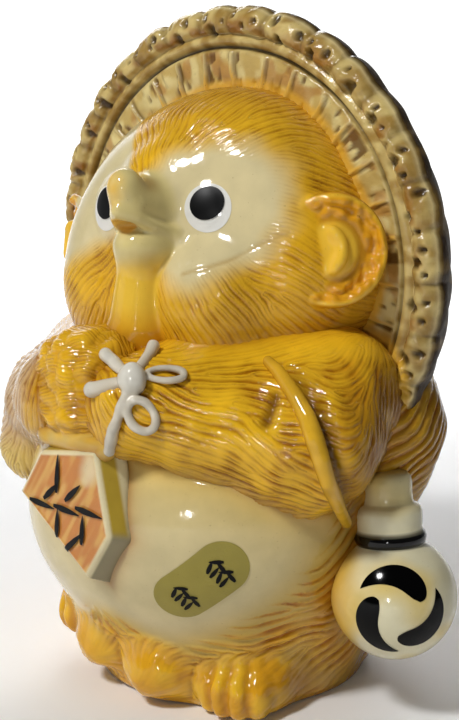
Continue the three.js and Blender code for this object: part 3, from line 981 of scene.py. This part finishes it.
def crease_feet(skin, feet):
    """Uneven golden bags and toes, with a crease where two of them meet, darkened with painted shade."""
    p = skin.points
    skin.tint(dappled(p, FOOT_YELLOW, FOOT_GOLD, 6, 0.35, 0.7), feet)
    skin.lift += feet * 0.8 * (grain(p, 3.2, 7) - 0.5)
    lumps = [egg(p, *bag) for bag in BAGS]
    for at, radii in PAWS:
        lumps += toes_of(p, at, radii)
    lumps = np.sort(np.stack(lumps), 0)
    between = np.exp(-((lumps[1] - lumps[0]) / 1.1) ** 2) * smooth(4.5, 1.5, lumps[1])
    skin.lift -= 0.9 * between
    # Painted shade in the creases between toes and bags
    skin.tint(TOE_CREASE_SHADE, 0.6 * feet * between)


def make_trunk(glaze):
    soft = all_but(trunk_field, plaque_field, flask_field)
    skin = Skin(trunk_field, *TRUNK_NET, soft, crisp=(plaque_field, flask_field))
    p = skin.points
    border = belly_border(p)
    feet_gap = np.minimum(paws_field(p), bags_field(p))
    feet = smooth(3.5, -0.5, feet_gap)
    comb_trunk(skin, border, feet_gap, feet)
    crease_feet(skin, feet)
    under_arm = np.exp(-np.maximum(arm_field(p), 0) / 9) * smooth(2, -4, border)
    skin.tint(BELLY_UNDER_ARM, 0.8 * under_arm)
    pool_and_shade(skin, strength=0.7)
    paint_flank_shade(skin)
    skin.tint(BARE_CLAY, smooth(0.9, 0.3, p[:, 2]))
    skin.lift *= 1 - smooth(3, 0.5, p[:, 2])
    return skin.cast("trunk", glaze)


# Arms

ARMS_NET = ((-78, -68, 44), (78, 30, 122), 0.65)
ARMS_PITCH = 2.4
NEAR_POLE = (6, -54, 98)
FAR_POLE = (-10, -50, 108)
BEHIND_FLOW = np.array([0, 0, 1.3])
BESIDE_STRAP = np.array([2.4, 3.2, -0.6])
ARM_GOLD = rgb(226, 172, 42)
ARM_BEHIND_SHADE = rgb(186, 122, 22)
FAR_ARM_TAN = rgb(212, 178, 130)
FAR_ARM_BROWN = rgb(160, 112, 66)
FAR_ARM_HEM = rgb(226, 198, 112)
HEM_YELLOW = rgb(214, 190, 112)
TRENCH_SHADOW = rgb(84, 50, 10)
SLIT_SHADE = rgb(110, 66, 12)


def comb_arms(skin):
    """Fur that spreads from the paws, and turns upwards behind the near arm."""
    p = skin.points
    near = p[:, 0] > 0
    flow = np.where(near[:, None], radial(skin, NEAR_POLE), radial(skin, FAR_POLE))
    behind = smooth(-4, 12, p[:, 1] + 0.9 * (p[:, 0] - 60) + 24) * near
    stripes = comb(skin, swayed(skin, flow + behind[:, None] * BEHIND_FLOW, 9, 0.55, 2), ARMS_PITCH)
    collar = smooth(3, -1, limb(mirrored(p), *COLLAR) - 0.4) * smooth(96, 101, p[:, 2])
    cover = (0.25 + 0.95 * grain(p, 4)) * (1 - 0.75 * collar)
    skin.lift += 1.7 * (grain(p, 7, 6) - 0.5) * (1 - collar)
    ridge = dappled(p, YELLOW, ARM_GOLD, 10, 0.4, 0.75, 5)
    # Painted shade on the fur behind the near arm, mixed into the ridge tone
    groove(skin, stripes, 0.5, cover, mix(ridge, ARM_BEHIND_SHADE, 0.6 * behind), AMBER)
    return stripes


def paint_sleeves(skin, stripes):
    """Tan fur on the far arm, and a paler edge where the arms lie on the belly."""
    p = skin.points
    far = smooth(2, -6, p[:, 0] + 14 - 0.4 * (p[:, 2] - 90))
    tan = mix(FAR_ARM_TAN, FAR_ARM_BROWN, 0.8 * (0.5 + 0.5 * stripes) ** 2)
    tan = mix(tan, FAR_ARM_HEM, smooth(72, 60, p[:, 2]))
    skin.tint(tan, 0.9 * far * smooth(110, 100, p[:, 2]))
    hem = smooth(5, 0, skin.gap) * smooth(84, 74, p[:, 2])
    skin.tint(HEM_YELLOW, 0.6 * hem * (0.4 + 0.6 * grain(p, 3)))


def make_arms(glaze):
    skin = Skin(arm_field, *ARMS_NET, all_but(arm_field), fillet=4)
    stripes = comb_arms(skin)
    paint_sleeves(skin, stripes)
    below_shoulder = smooth(101, 90, skin.points[:, 2])
    # A trench cut beside the strap, dark with painted shadow
    cut_line(skin, STRAP_LINE + BESIDE_STRAP, 2.4, 2.4, TRENCH_SHADOW, 0.85, below_shoulder)
    # The dent in the near arm, dark with painted shade
    cut_line(skin, SLIT_LINE, 1.3, 1.5, SLIT_SHADE, 0.8)
    pool_and_shade(skin, reach=2, strength=0.7)
    paint_flank_shade(skin)
    return skin.cast("arms", glaze)


# Clasped paws

HANDS_NET = ((-30, -72, 60), (26, -30, 116), 0.5)
HANDS_PITCH = 2.0
HANDS_FLOW = (1, 0, 0.05)
TUFT_WIDE = 7.4
TUFT_HIGH = 5.4
PAW_GOLD = rgb(222, 166, 40)
PAW_VALLEY = rgb(180, 120, 22)
CUFF_CREAM = rgb(212, 186, 112)
CUFF_YELLOW = rgb(226, 180, 62)


def make_hands(glaze):
    """A mitt covered in small tufts that lie like tiles, over a pale cuff."""
    skin = Skin(hands_field, *HANDS_NET, all_but(hands_field))
    p = skin.points
    column = (p[:, 0] + 4) / TUFT_WIDE + 1.1 * (grain(p, 8, 3) - 0.5)
    row = p[:, 2] / TUFT_HIGH + 0.5 * np.floor(column) + 1.6 * (grain(p, 9, 4) - 0.5)
    tuft = np.abs(np.sin(math.pi * column)) ** 0.4 * np.abs(np.sin(math.pi * row)) ** 0.6
    tuft = 0.5 * tuft + 0.9 * (grain(p, 4, 8) - 0.2)
    cuff = smooth(1.2, 0, chain(p, CUFF, CUFF_ROLL))
    skin.lift += (1.9 * tuft - 1) * (1 - cuff)
    flow = swayed(skin, np.tile(HANDS_FLOW, (len(p), 1)), 5, 0.7, 1)
    stripes = comb(skin, flow, HANDS_PITCH)
    cover = (0.1 + 0.9 * grain(p, 4)) * (1 - cuff)
    tone = dappled(p, YELLOW, PAW_GOLD, 5, 0.35, 0.7, 2)
    tone = mix(tone, AMBER, 0.8 * np.clip(0.8 - tuft, 0, 1))
    groove(skin, stripes, 0.4, cover, tone, PAW_VALLEY)
    skin.tint(tone, 0.5 * (1 - cuff))
    skin.tint(mix(CUFF_CREAM, CUFF_YELLOW, grain(p, 3, 5)), cuff)
    pool_and_shade(skin, strength=0.7)
    return skin.cast("hands", glaze)


# Plaque, strap and bow

PLAQUE_NET = ((-36, -68, 36), (36, -38, 90), 0.4)
WOOD_BROWN = rgb(198, 126, 62)
WOOD_TAN = rgb(212, 160, 84)
WALL_GREY = rgb(150, 140, 108)
WALL_OLIVE = rgb(190, 162, 62)
WALL_HIGHLIGHT = rgb(226, 214, 170)
EDGE_CREAM = rgb(228, 214, 170)
PUDDLE_CREAM = rgb(226, 206, 160)
PLAQUE_POOL_AND_SHADE = rgb(120, 96, 50)
STRAP_NET = ((36, -42, 48), (72, -4, 106), 0.45)
STRAP_YELLOW = rgb(236, 184, 52)
BOW_NET = ((0, -68, 66), (42, -38, 110), 0.36)
BOW_WHITE = rgb(222, 218, 204)
BOW_POOL_AND_SHADE = rgb(180, 140, 64)


def make_plaque(glaze):
    """Wood-coloured face inside a cream edge, olive and grey walls, with a painted highlight on the back
    half of the sloping walls.
    """
    skin = Skin(plaque_field, *PLAQUE_NET, all_but(plaque_field), 0.01)
    p = skin.points
    across, up, out = plaque_frame()
    q = p - np.array(PLAQUE_AT)
    x, y, z = q @ across, q @ up, q @ out
    inset = np.minimum(PLAQUE_HALF - np.abs(x), y)
    slope = unit(PLAQUE_SLOPE)
    inset = np.minimum(inset, -(np.abs(x) * slope[0] + (y - PLAQUE_TOP) * slope[1]))
    front = smooth(-1.2, -0.6, z)
    roof = smooth(-1, 1.5, y - 15.2)
    wall = mix(WALL_GREY, WALL_OLIVE, roof)
    # Painted highlight on the back half of the sloping walls
    wall = mix(wall, WALL_HIGHLIGHT, smooth(-5.2, -6.4, z) * roof)
    skin.paint = mix(wall, EDGE_CREAM, smooth(-1.8, -1.0, z) * smooth(-2, -0.6, inset))
    face = smooth(0.5, 1.1, inset) * front
    stretched = np.stack([x * 3, y * 0.5, z], 1)
    skin.tint(dappled(stretched, WOOD_BROWN, WOOD_TAN, 3, 0.3, 0.7), face)
    puddle = smooth(6.5, 2, np.hypot((x - 1) * 1.3, y - 24.5) + 2 * (grain(p, 2.5) - 0.5))
    skin.tint(PUDDLE_CREAM, 0.85 * puddle * face)
    skin.lift -= 0.35 * smooth(0.7, 1.5, inset) * front
    # Pooled glaze and painted shade where the plaque meets the figure
    skin.tint(PLAQUE_POOL_AND_SHADE, 0.7 * np.exp(-np.abs(skin.gap) / 0.6))
    return skin.cast("plaque", glaze)


def make_cord(name, field, net_box, glaze, tone, joint, fillet, uneven):
    """A cord that is cast on, in one tone, with darker glaze and painted shade where it touches the
    figure.
    """
    skin = Skin(field, *net_box, all_but(), fillet)
    p = skin.points
    skin.paint = dappled(p, tone, tone * 0.82, 4)
    skin.lift += uneven * (grain(p, 3, 7) - 0.5) * smooth(0.5, 2, p[:, 2])
    skin.lift *= smooth(0, 3, p[:, 2])
    pool_and_shade(skin, joint, strength=0.6)
    return skin.cast(name, glaze)


# Turned forms


def turned(profile, columns):
    """Radius, height and angle of each point of a profile that is turned round, row by row."""
    turns = np.arange(columns) * 2 * math.pi / columns
    r, height = np.repeat(profile, columns, axis=0).T
    return r, height, np.tile(turns, len(profile))


def turned_faces(rows, columns):
    here = np.arange(columns)
    after = (here + 1) % columns
    start = np.arange(rows - 1)[:, None] * columns
    below = start + columns
    return np.stack([start + here, start + after, below + after, below + here], -1).reshape(-1, 4)


# Straw hat

HAT_CELLS = 33
HAT_TURN = math.radians(6.4)
HAT_COLUMNS = 660
HAT_SEAM = 62.5
HAT_RIM = 71.6
HAT_CROWN = 38
HAT_FRONT_ROWS = 64
HAT_SPLIT = HAT_FRONT_ROWS - 2
HAT_PITS = ((67.9, 0.45, 1.7), (70.6, 0.2, 1.2), (70.0, 0.75, 1.1))
RIM_OLIVE = rgb(160, 128, 66)
RIM_STRAW = rgb(206, 182, 116)
RIM_RUST = rgb(150, 92, 34)
RIM_CREASE = rgb(100, 74, 28)
RIM_EDGE_HIGHLIGHT = rgb(226, 210, 160)
PIT_BROWN = rgb(56, 38, 12)
PANEL_STRAW = rgb(196, 168, 98)
PANEL_CREAM = rgb(220, 202, 138)
PANEL_RUST = rgb(170, 112, 44)
PANEL_DASH = rgb(92, 58, 18)
RIB_CREAM = rgb(222, 204, 146)
RIB_SHADE = rgb(96, 70, 28)
SEAM_BROWN = rgb(46, 32, 12)
BACK_BROWN_AND_SHADE = rgb(60, 44, 22)
BACK_STRAW_AND_SHADE = rgb(110, 86, 44)
HEAD_GLOW = rgb(228, 176, 60)


def hat_profile():
    """Radius and depth from the inside of the panels round the rim to the middle of the back."""
    panels = [(r, 1 - 0.5 * smooth(50, 61, r)) for r in np.linspace(40, 61.6, 34)]
    seam = [(62.0, 1.0), (62.5, 1.7), (63.0, 0.6), (63.6, -0.4), (64.4, -0.7), (65.2, -0.5), (65.9, 0.2)]
    cells = []
    for t in np.linspace(0, 1, 20):
        cells.append((66.2 + 6.6 * t, 0.6 - 2.6 * math.sin(math.pi * t) ** 0.7 + 0.9 * t))
    edge = [(73.3, 2.2), (73.6, 3.2), (73.5, 4.4), (73.1, 5.6), (72.2, 7.2)]
    back = []
    for t in np.linspace(0.03, 1, 46):
        r = HAT_RIM * (1 - t)
        back.append((r, 8 + HAT_CROWN * (1 - (r / HAT_RIM) ** 2.0) ** 0.7))
    return np.array(panels + seam + cells + edge + back)


class Hat:
    """The hat as a turned grid, with the relief and the tone of each point so far."""

    def __init__(self):
        profile = hat_profile()
        self.rows = len(profile)
        self.r, self.depth, self.turn = turned(profile, HAT_COLUMNS)
        self.row = np.repeat(np.arange(self.rows), HAT_COLUMNS)
        self.front = self.row < HAT_FRONT_ROWS
        across = self.r * np.cos(self.turn)
        self.flat = np.stack([across, self.r * np.sin(self.turn), self.depth * 0], 1)
        uneven = 0.3 * (grain(self.flat, 7, 9) - 0.5)
        self.cell = (self.turn - HAT_TURN) / (2 * math.pi) * HAT_CELLS + uneven
        self.share = self.cell - np.floor(self.cell)
        nearest = np.minimum(self.share, 1 - self.share)
        self.crease = nearest * 2 * math.pi * self.r / HAT_CELLS
        self.jolt = np.random.default_rng(5).uniform(-1, 1, (HAT_CELLS, 8))

    def tint(self, tone, share):
        self.tone = mix(self.tone, tone, share)

    def swell_rim(self):
        """Puffy cells of straw round the rim, rusty in places and dark between."""
        flat, r = self.flat, self.r
        this = self.jolt[np.floor(self.cell).astype(int) % HAT_CELLS]
        puffy = smooth(65.6, 67, r) * self.front
        self.lift = puffy * (1.1 * (1 - np.exp(-self.crease / 1.3)) + 0.5 * this[:, 0])
        self.lift += puffy * (1.2 * (grain(flat, 4, 2) - 0.5) + 0.7 * (grain(flat, 1.2, 3) - 0.5))
        mottle = smooth(0.25, 0.7, 0.6 * grain(flat, 3.2) + 0.4 * grain(flat, 1.3, 2))
        self.tone = mix(RIM_OLIVE, RIM_STRAW, mottle)
        rust = puffy * smooth(72, 67, r) * smooth(0.42, 0.66, grain(flat, 2.8, 4))
        self.tint(RIM_RUST, 0.65 * rust)
        self.tint(RIM_CREASE, 0.7 * puffy * np.exp(-self.crease / 0.7))

    def press_pits(self):
        """Three dark pits in each cell, each a little off its place."""
        pits = np.zeros(len(self.r))
        ragged = 0.5 * (grain(self.flat, 0.9, 5) - 0.5)
        for k, jolt in enumerate(self.jolt):
            middle = HAT_TURN + k * 2 * math.pi / HAT_CELLS
            for index, (at, side, size) in enumerate(HAT_PITS):
                at = at + 0.9 * jolt[index]
                angle = middle + (side + 0.14 * jolt[index + 3]) * 2 * math.pi / HAT_CELLS
                reach = size * (1 + 0.45 * jolt[index + 4])
                away = np.mod(self.turn - angle + math.pi, 2 * math.pi) - math.pi
                gap = (self.r - at) ** 2 + (away * at * 1.15) ** 2
                pits = np.maximum(pits, smooth(1.15, 0.5, np.sqrt(gap) / reach + ragged))
        pits *= self.front
        self.lift -= 1.5 * pits
        self.tint(PIT_BROWN, 0.92 * pits)

    def paint_edge_highlight(self):
        # Painted highlight along the outer edge of the rim
        edge = smooth(72.2, 73.1, self.r) * smooth(2.6, 1.4, self.depth)
        self.tint(RIM_EDGE_HIGHLIGHT, 0.6 * edge)

    def rib_panels(self):
        """Ribs with a shaded side, and dashes between them, inside the rim."""
        flat, r = self.flat, self.r
        panel = smooth(61.6, 60.6, r) * self.front
        ribbed = np.exp(-(self.crease / 0.5) ** 2) * panel
        side_gap = (np.mod(self.share + 0.5, 1) - 0.5) * 2 * math.pi * r / HAT_CELLS - 1.0
        shade = np.exp(-side_gap ** 2 / 0.3) * panel
        stretched = np.stack([r * 0.42, self.turn * 55, self.depth * 0], 1)
        streak = smooth(0.62, 0.74, grain(stretched, 1.35, 11)) * panel * smooth(0, 1.2, self.crease)
        self.lift += 0.8 * ribbed - 0.3 * shade - 0.5 * streak + 0.6 * panel * (grain(flat, 2.6, 6) - 0.5)
        inner = dappled(flat, PANEL_STRAW, PANEL_CREAM, 3, 0.3, 0.7, 3)
        inner = mix(inner, PANEL_RUST, 0.6 * smooth(0.58, 0.75, grain(flat, 4, 13)))
        self.tint(inner, panel)
        self.tint(PANEL_DASH, 0.85 * streak)
        self.tint(RIB_CREAM, 0.8 * ribbed)
        self.tint(RIB_SHADE, 0.75 * shade)
        self.ribbed = ribbed

    def sew_seam(self):
        wander = 0.6 * (grain(self.flat, 9, 4) - 0.5)
        seam = np.exp(-((self.r - HAT_SEAM - wander) / 0.45) ** 2) * self.front
        self.tint(SEAM_BROWN, 0.95 * seam)
        self.lift -= 0.6 * seam

    def shape_back(self):
        """Ribs behind, which run in to the crown; the back is painted dark brown, a darker glaze with
        painted shade.
        """
        back = smooth(0, 3, self.row - HAT_FRONT_ROWS)
        self.lift += back * 0.8 * np.abs(np.cos(math.pi * self.cell)) ** 0.7 * smooth(6, 30, self.r)
        side_wall = smooth(1.2, 2.8, self.depth) * (self.row > HAT_FRONT_ROWS - 4)
        # Dark brown straw glaze and painted shade over the back
        self.tint(dappled(self.flat, BACK_BROWN_AND_SHADE, BACK_STRAW_AND_SHADE, 3, 0.45, 0.8, 6), side_wall)

    def placed(self):
        """The points with their relief and the scallops of the rim, tilted behind the head."""
        scallop = 1.3 * (np.abs(np.sin(math.pi * self.cell)) ** 0.6 - 0.5)
        scallop = scallop * smooth(68, 73, self.r) * smooth(11, 4, self.depth)
        depth = self.depth - self.lift * np.where(self.front, 1, -0.6)
        r = self.r + scallop - 0.5 + self.lift * np.where(self.front, 0, 0.5)
        sag = 3.5 * np.clip((depth - 7) / 14, 0, 1)
        up = r * np.cos(self.turn) - sag
        y = depth * math.cos(HAT_TILT) - up * math.sin(HAT_TILT)
        z = depth * math.sin(HAT_TILT) + up * math.cos(HAT_TILT)
        return np.stack([r * np.sin(self.turn), y, z], 1) + HAT_AT


def make_hat(straw, dark_back_and_shade):
    """The front and the back are two pieces, as their glazes differ; the back's dark tone is partly
    painted shade.
    """
    hat = Hat()
    hat.swell_rim()
    hat.press_pits()
    hat.paint_edge_highlight()
    hat.rib_panels()
    hat.sew_seam()
    hat.shape_back()
    points = hat.placed()
    near_head = np.minimum(head_field(points), arm_field(points))
    glow = smooth(3.2 + 5 * hat.ribbed, 0.8 + 2 * hat.ribbed, near_head) * hat.front
    hat.tint(HEAD_GLOW, 0.85 * glow)
    halves = (("hat", 0, HAT_SPLIT, straw), ("hat_back", HAT_SPLIT, hat.rows - 1, dark_back_and_shade))
    for name, first, last, material in halves:
        used = slice(first * HAT_COLUMNS, (last + 1) * HAT_COLUMNS)
        faces = turned_faces(last - first + 1, HAT_COLUMNS)
        cast_in(make_mesh(name, points[used], faces, hat.tone[used]), material)


# Sake flask

FLASK_COLUMNS = 120
FLASK_CREAM = rgb(226, 218, 182)
FLASK_TAN = rgb(218, 192, 112)
FLASK_BAND = rgb(14, 13, 12)
FLASK_YELLOW = rgb(224, 172, 50)


def flask_profile():
    """Radius and height from the bottom of the ball over its neck to the stopper."""
    ball = [(0.01, -FLASK_BALL)]
    for a in np.linspace(0.04, math.pi - 0.56, 60):
        ball.append((FLASK_BALL * math.sin(a), -FLASK_BALL * math.cos(a)))
    band = [(9.2, 14.6), (9.6, 15.3), (9.8, 16.4), (9.5, 17.4), (9, 18.0), (8.8, 18.8)]
    neck = [(8.9, 21), (9, 23), (8.7, 24.2), (7.9, 25.0), (7.0, 25.4)]
    stopper = [(6.7, 26), (6.6, 28), (6.7, 31), (6.4, 32.6), (5.5, 33.6), (4, 34), (2, 34.1), (0.01, 34.1)]
    return np.array(ball + band + neck + stopper)


def make_flask(glaze):
    profile = flask_profile()
    r, height, turn = turned(profile, FLASK_COLUMNS)
    points = np.stack([r * np.cos(turn), r * np.sin(turn), height], 1)
    paint = dappled(points, FLASK_CREAM, FLASK_TAN, 9)
    band = smooth(14.2, 14.6, height) * smooth(18.2, 17.9, height)
    paint = mix(paint, FLASK_BAND, band)
    lean = Matrix.Rotation(-FLASK_LEAN, 3, "Y")
    points = points @ np.array(lean).T + FLASK_AT
    yellow = smooth(62, 48, points[:, 0] + 0.6 * (points[:, 1] + 8))
    paint = mix(paint, FLASK_YELLOW, 0.8 * yellow * (1 - band))
    faces = turned_faces(len(profile), FLASK_COLUMNS)
    return cast_in(make_mesh("flask", points, faces, paint), glaze)


# Painted eyes, coin, marks and emblem

EYE_WHITE = 6.5
PUPIL = 4.6
PUPIL_SHIFT = (-0.2, 0, 1.2)
KOBAN_AT = (33.7, -44.2, 42)
KOBAN_ALONG = (15.1, 6.7, 13)
KOBAN_OUT = (0.6, -0.76, -0.27)
KOBAN_HALF = 7.5
KOBAN_STRAIGHT = 6.8
EMBLEM_OUT = (0.62, -0.78, 0.05)
EMBLEM_RIGHT = (0.78, 0.62, 0)


def comma(turn, scale=12.2):
    """One of the three commas of a traditional swirl: a round head and a tail that thins along an arc."""
    share = np.linspace(0, 1, 40)
    angles = turn + 2.15 * share
    reach = scale * (0.5 + 0.42 * share ** 0.8)
    points = np.stack([reach * np.cos(angles), reach * np.sin(angles)], 1)
    widths = 0.56 * scale * np.sqrt(share) * (1 - share) ** 0.9
    return ribbon(points, widths, steps=60)


def stroke(x, y, turn, length, width):
    """A short tapered brush mark that stands for no letter."""
    c, s = math.cos(turn), math.sin(turn)
    points = [(x + c * length * t, y + s * length * t) for t in (-0.5, -0.2, 0.15, 0.5)]
    return ribbon(points, [width * 0.5, width, width * 0.8, width * 0.15], steps=12)


def pill(turns):
    """Reach of an oblong with round ends at each angle."""
    c, s = np.abs(np.cos(turns)), np.abs(np.sin(turns))
    side = np.where(s > 1e-6, KOBAN_HALF / np.maximum(s, 1e-6), 1e9)
    cap = c * KOBAN_STRAIGHT
    cap = cap + np.sqrt(np.maximum(KOBAN_HALF ** 2 - (s * KOBAN_STRAIGHT) ** 2, 0))
    return np.where(side * c < KOBAN_STRAIGHT, side, cap)


def paint_eyes(white, black):
    for side, name in ((-1, "far"), (1, "near")):
        flip = np.array([side, 1, 1])
        out = unfaced(np.array(EYE_OUT) * flip + CRANIUM_AXIS) - CRANIUM_AXIS
        canvas = Canvas(unfaced(np.array(EYE) * flip), (1, 0, 0), out, head_field)
        decal(f"eye_white_{name}", canvas, [fan(lambda a: EYE_WHITE + 0 * a)], 0.12, white)
        canvas = Canvas(unfaced((np.array(EYE) + PUPIL_SHIFT) * flip), (1, 0, 0), out, head_field)
        pupil = fan(lambda a: PUPIL + 0.25 * np.cos(2 * (a - 0.6 * side)), rings=16)
        decal(f"pupil_{name}", canvas, [pupil], 0.34, black)


def paint_koban(gold, black):
    canvas = Canvas(KOBAN_AT, KOBAN_ALONG, KOBAN_OUT, trunk_field)
    decal("koban", canvas, [fan(pill)], 0.15, gold)
    marks = []
    for x in (-6.2, 6.2):
        for k in range(8):
            turn = (0.2, 1.5, 0.5, 2.4)[k % 4]
            marks.append(stroke(x + 2.2 * (k % 2) - 1.1, -3.4 + 1.9 * (k // 2), turn, 3.9, 0.62))
    decal("koban_marks", canvas, marks, 0.3, black)


def paint_plaque(black):
    across, up, out = plaque_frame()
    canvas = Canvas(np.array(PLAQUE_AT) + up * 14, across, out, plaque_field)
    marks = []
    for row, y in enumerate((-10, -4.4, 1.2)):
        for column, x in enumerate((-7.5, 0, 7.5)):
            turn = 0.5 + 0.8 * ((row + 2 * column) % 3)
            length = 10.5 - 2.5 * ((row + column) % 2)
            marks.append(stroke(x + 0.8 * (row % 2), y, turn, length, 0.9))
    decal("plaque_marks", canvas, marks, 0.2, black)


def paint_emblem(ink):
    out = unit(EMBLEM_OUT)
    canvas = Canvas(np.array(FLASK_AT) + out * FLASK_BALL, EMBLEM_RIGHT, out, flask_field)
    swirl = [comma(0.5 + k * 2 * math.pi / 3) for k in range(3)]
    decal("flask_emblem", canvas, swirl, 0.15, ink)


# All the pieces


def make_pieces():
    dark = {"bump": 0.02, "shine": 0.2}
    fur = glazed("yellow_glaze", hair=True)
    straw = glazed("straw_glaze", speck=rgb(90, 60, 24), speckle=0.5, roughness=0.24, bump=0.2, wave=1.4,
                   shine=0.4)
    dark_back_and_shade = glazed("dark_straw_and_shade", speck=rgb(120, 96, 50), speckle=0.3, roughness=0.6, bump=0.4, wave=1.8,
                  shine=0.2)
    pale = glazed("pale_glaze", speckle=0.2)
    ink = glazed("black_glaze", colour=rgb(8, 8, 9), speck=rgb(24, 22, 20), roughness=0.1, **dark)
    matt = glazed("matt_black", colour=rgb(10, 10, 11), speck=rgb(26, 24, 22), roughness=0.4, **dark)
    white = glazed("white_glaze", colour=rgb(226, 224, 216), speckle=0.1, roughness=0.09, bump=0.03)
    gold = glazed("gold_leaf", colour=rgb(156, 142, 62), speck=rgb(110, 96, 40), roughness=0.3, bump=0.08,
                  wave=0.8)
    make_head(fur)
    make_trunk(fur)
    make_arms(fur)
    make_hat(straw, dark_back_and_shade)
    make_flask(pale)
    make_hands(fur)
    make_cord("strap", strap_field, STRAP_NET, fur, STRAP_YELLOW, AMBER, 0.8, 0.0)
    make_plaque(fur)
    make_cord("bow", bow_field, BOW_NET, pale, BOW_WHITE, BOW_POOL_AND_SHADE, 0.6, 0.5)
    paint_eyes(white, matt)
    paint_koban(gold, matt)
    paint_plaque(matt)
    paint_emblem(ink)


# Stage, light and camera

PHOTO_WIDE, PHOTO_HIGH = 459, 720
FOCAL_PX = 1142
SENSOR = 36
VIEW_TURN = math.radians(42)
VIEW_AWAY = 340
VIEW_HIGH = 140
VIEW_FROM = Vector((math.sin(VIEW_TURN) * VIEW_AWAY, -math.cos(VIEW_TURN) * VIEW_AWAY, VIEW_HIGH)) * MM
VIEW_DOWN = math.radians(7.9)
AXIS_COLUMN_PX = 218
VIEW_YAW = math.atan((PHOTO_WIDE / 2 - AXIS_COLUMN_PX) / FOCAL_PX)
WORLD_STRENGTH = 0.06


def make_camera():
    lens = bpy.data.cameras.new("camera")
    lens.sensor_fit = "VERTICAL"
    lens.sensor_height = SENSOR
    lens.lens = FOCAL_PX / PHOTO_HIGH * SENSOR
    lens.clip_start = 0.01
    camera = linked("camera", lens)
    camera.location = VIEW_FROM
    camera.rotation_euler = (math.pi / 2 - VIEW_DOWN, 0, VIEW_TURN - VIEW_YAW)
    bpy.context.scene.camera = camera


def make_stage():
    """A pale floor that curves up into a wall on the far side."""
    bend, depth, wide = 0.35, 1.1, 3.0
    line = [(-1.6, 0.0), (0.2, 0.0), (depth - bend, 0.0)]
    for a in np.linspace(0.1, math.pi / 2, 14):
        line.append((depth - bend + bend * math.sin(a), bend - bend * math.cos(a)))
    line.append((depth, 1.6))
    away = Vector((-math.sin(VIEW_TURN), math.cos(VIEW_TURN), 0))
    side = Vector((math.cos(VIEW_TURN), math.sin(VIEW_TURN), 0))
    points = [away * y + side * x + Vector((0, 0, z)) for y, z in line for x in (-wide, wide)]
    faces = [(2 * i, 2 * i + 1, 2 * i + 3, 2 * i + 2) for i in range(len(line) - 1)]
    mesh = bpy.data.meshes.new("floor")
    mesh.from_pydata(points, [], faces)
    mesh.polygons.foreach_set("use_smooth", [True] * len(faces))
    floor = linked("floor", mesh)
    shader = Shader("floor_paint")
    tone = shader.noise(60, out=(0.9, 0.93))
    grey = shader.add("ShaderNodeCombineColor", {0: tone, 1: tone, 2: tone}).outputs[0]
    shader.plug(grey, shader.surface.inputs["Base Color"])
    shader.surface.inputs["Roughness"].default_value = 0.8
    floor.data.materials.append(shader.material)


def make_light(name, towards, distance, size, power, aim=(0, 0, 0.1)):
    lamp = bpy.data.lights.new(name, "AREA")
    lamp.shape = "DISK"
    lamp.size = size
    lamp.energy = power
    light = linked(name, lamp)
    light.location = Vector(aim) + Vector(unit(towards)) * distance
    light.rotation_euler = Vector(unit(towards)).to_track_quat("Z", "Y").to_euler()
    return light


def make_light_and_world():
    make_light("key", (0.02, -0.7, 0.7), 1.0, 0.16, 6.6)
    make_light("window", (0.45, -0.88, 0.1), 1.1, 0.09, 0.9)
    make_light("fill", (-0.7, -0.6, 0.25), 1.4, 1.0, 1.2)
    make_light("wall_wash", (0.45, -0.5, 0.7), 0.97, 0.8, 14, (-1.0, 1.1, 0.3))
    world = bpy.data.worlds.new("studio")
    world.use_nodes = True
    world.node_tree.nodes["Background"].inputs["Color"].default_value = (1, 1, 1, 1)
    world.node_tree.nodes["Background"].inputs["Strength"].default_value = WORLD_STRENGTH
    bpy.context.scene.world = world
    bpy.context.scene.view_settings.view_transform = "Standard"


make_pieces()
make_stage()
make_camera()
make_light_and_world()
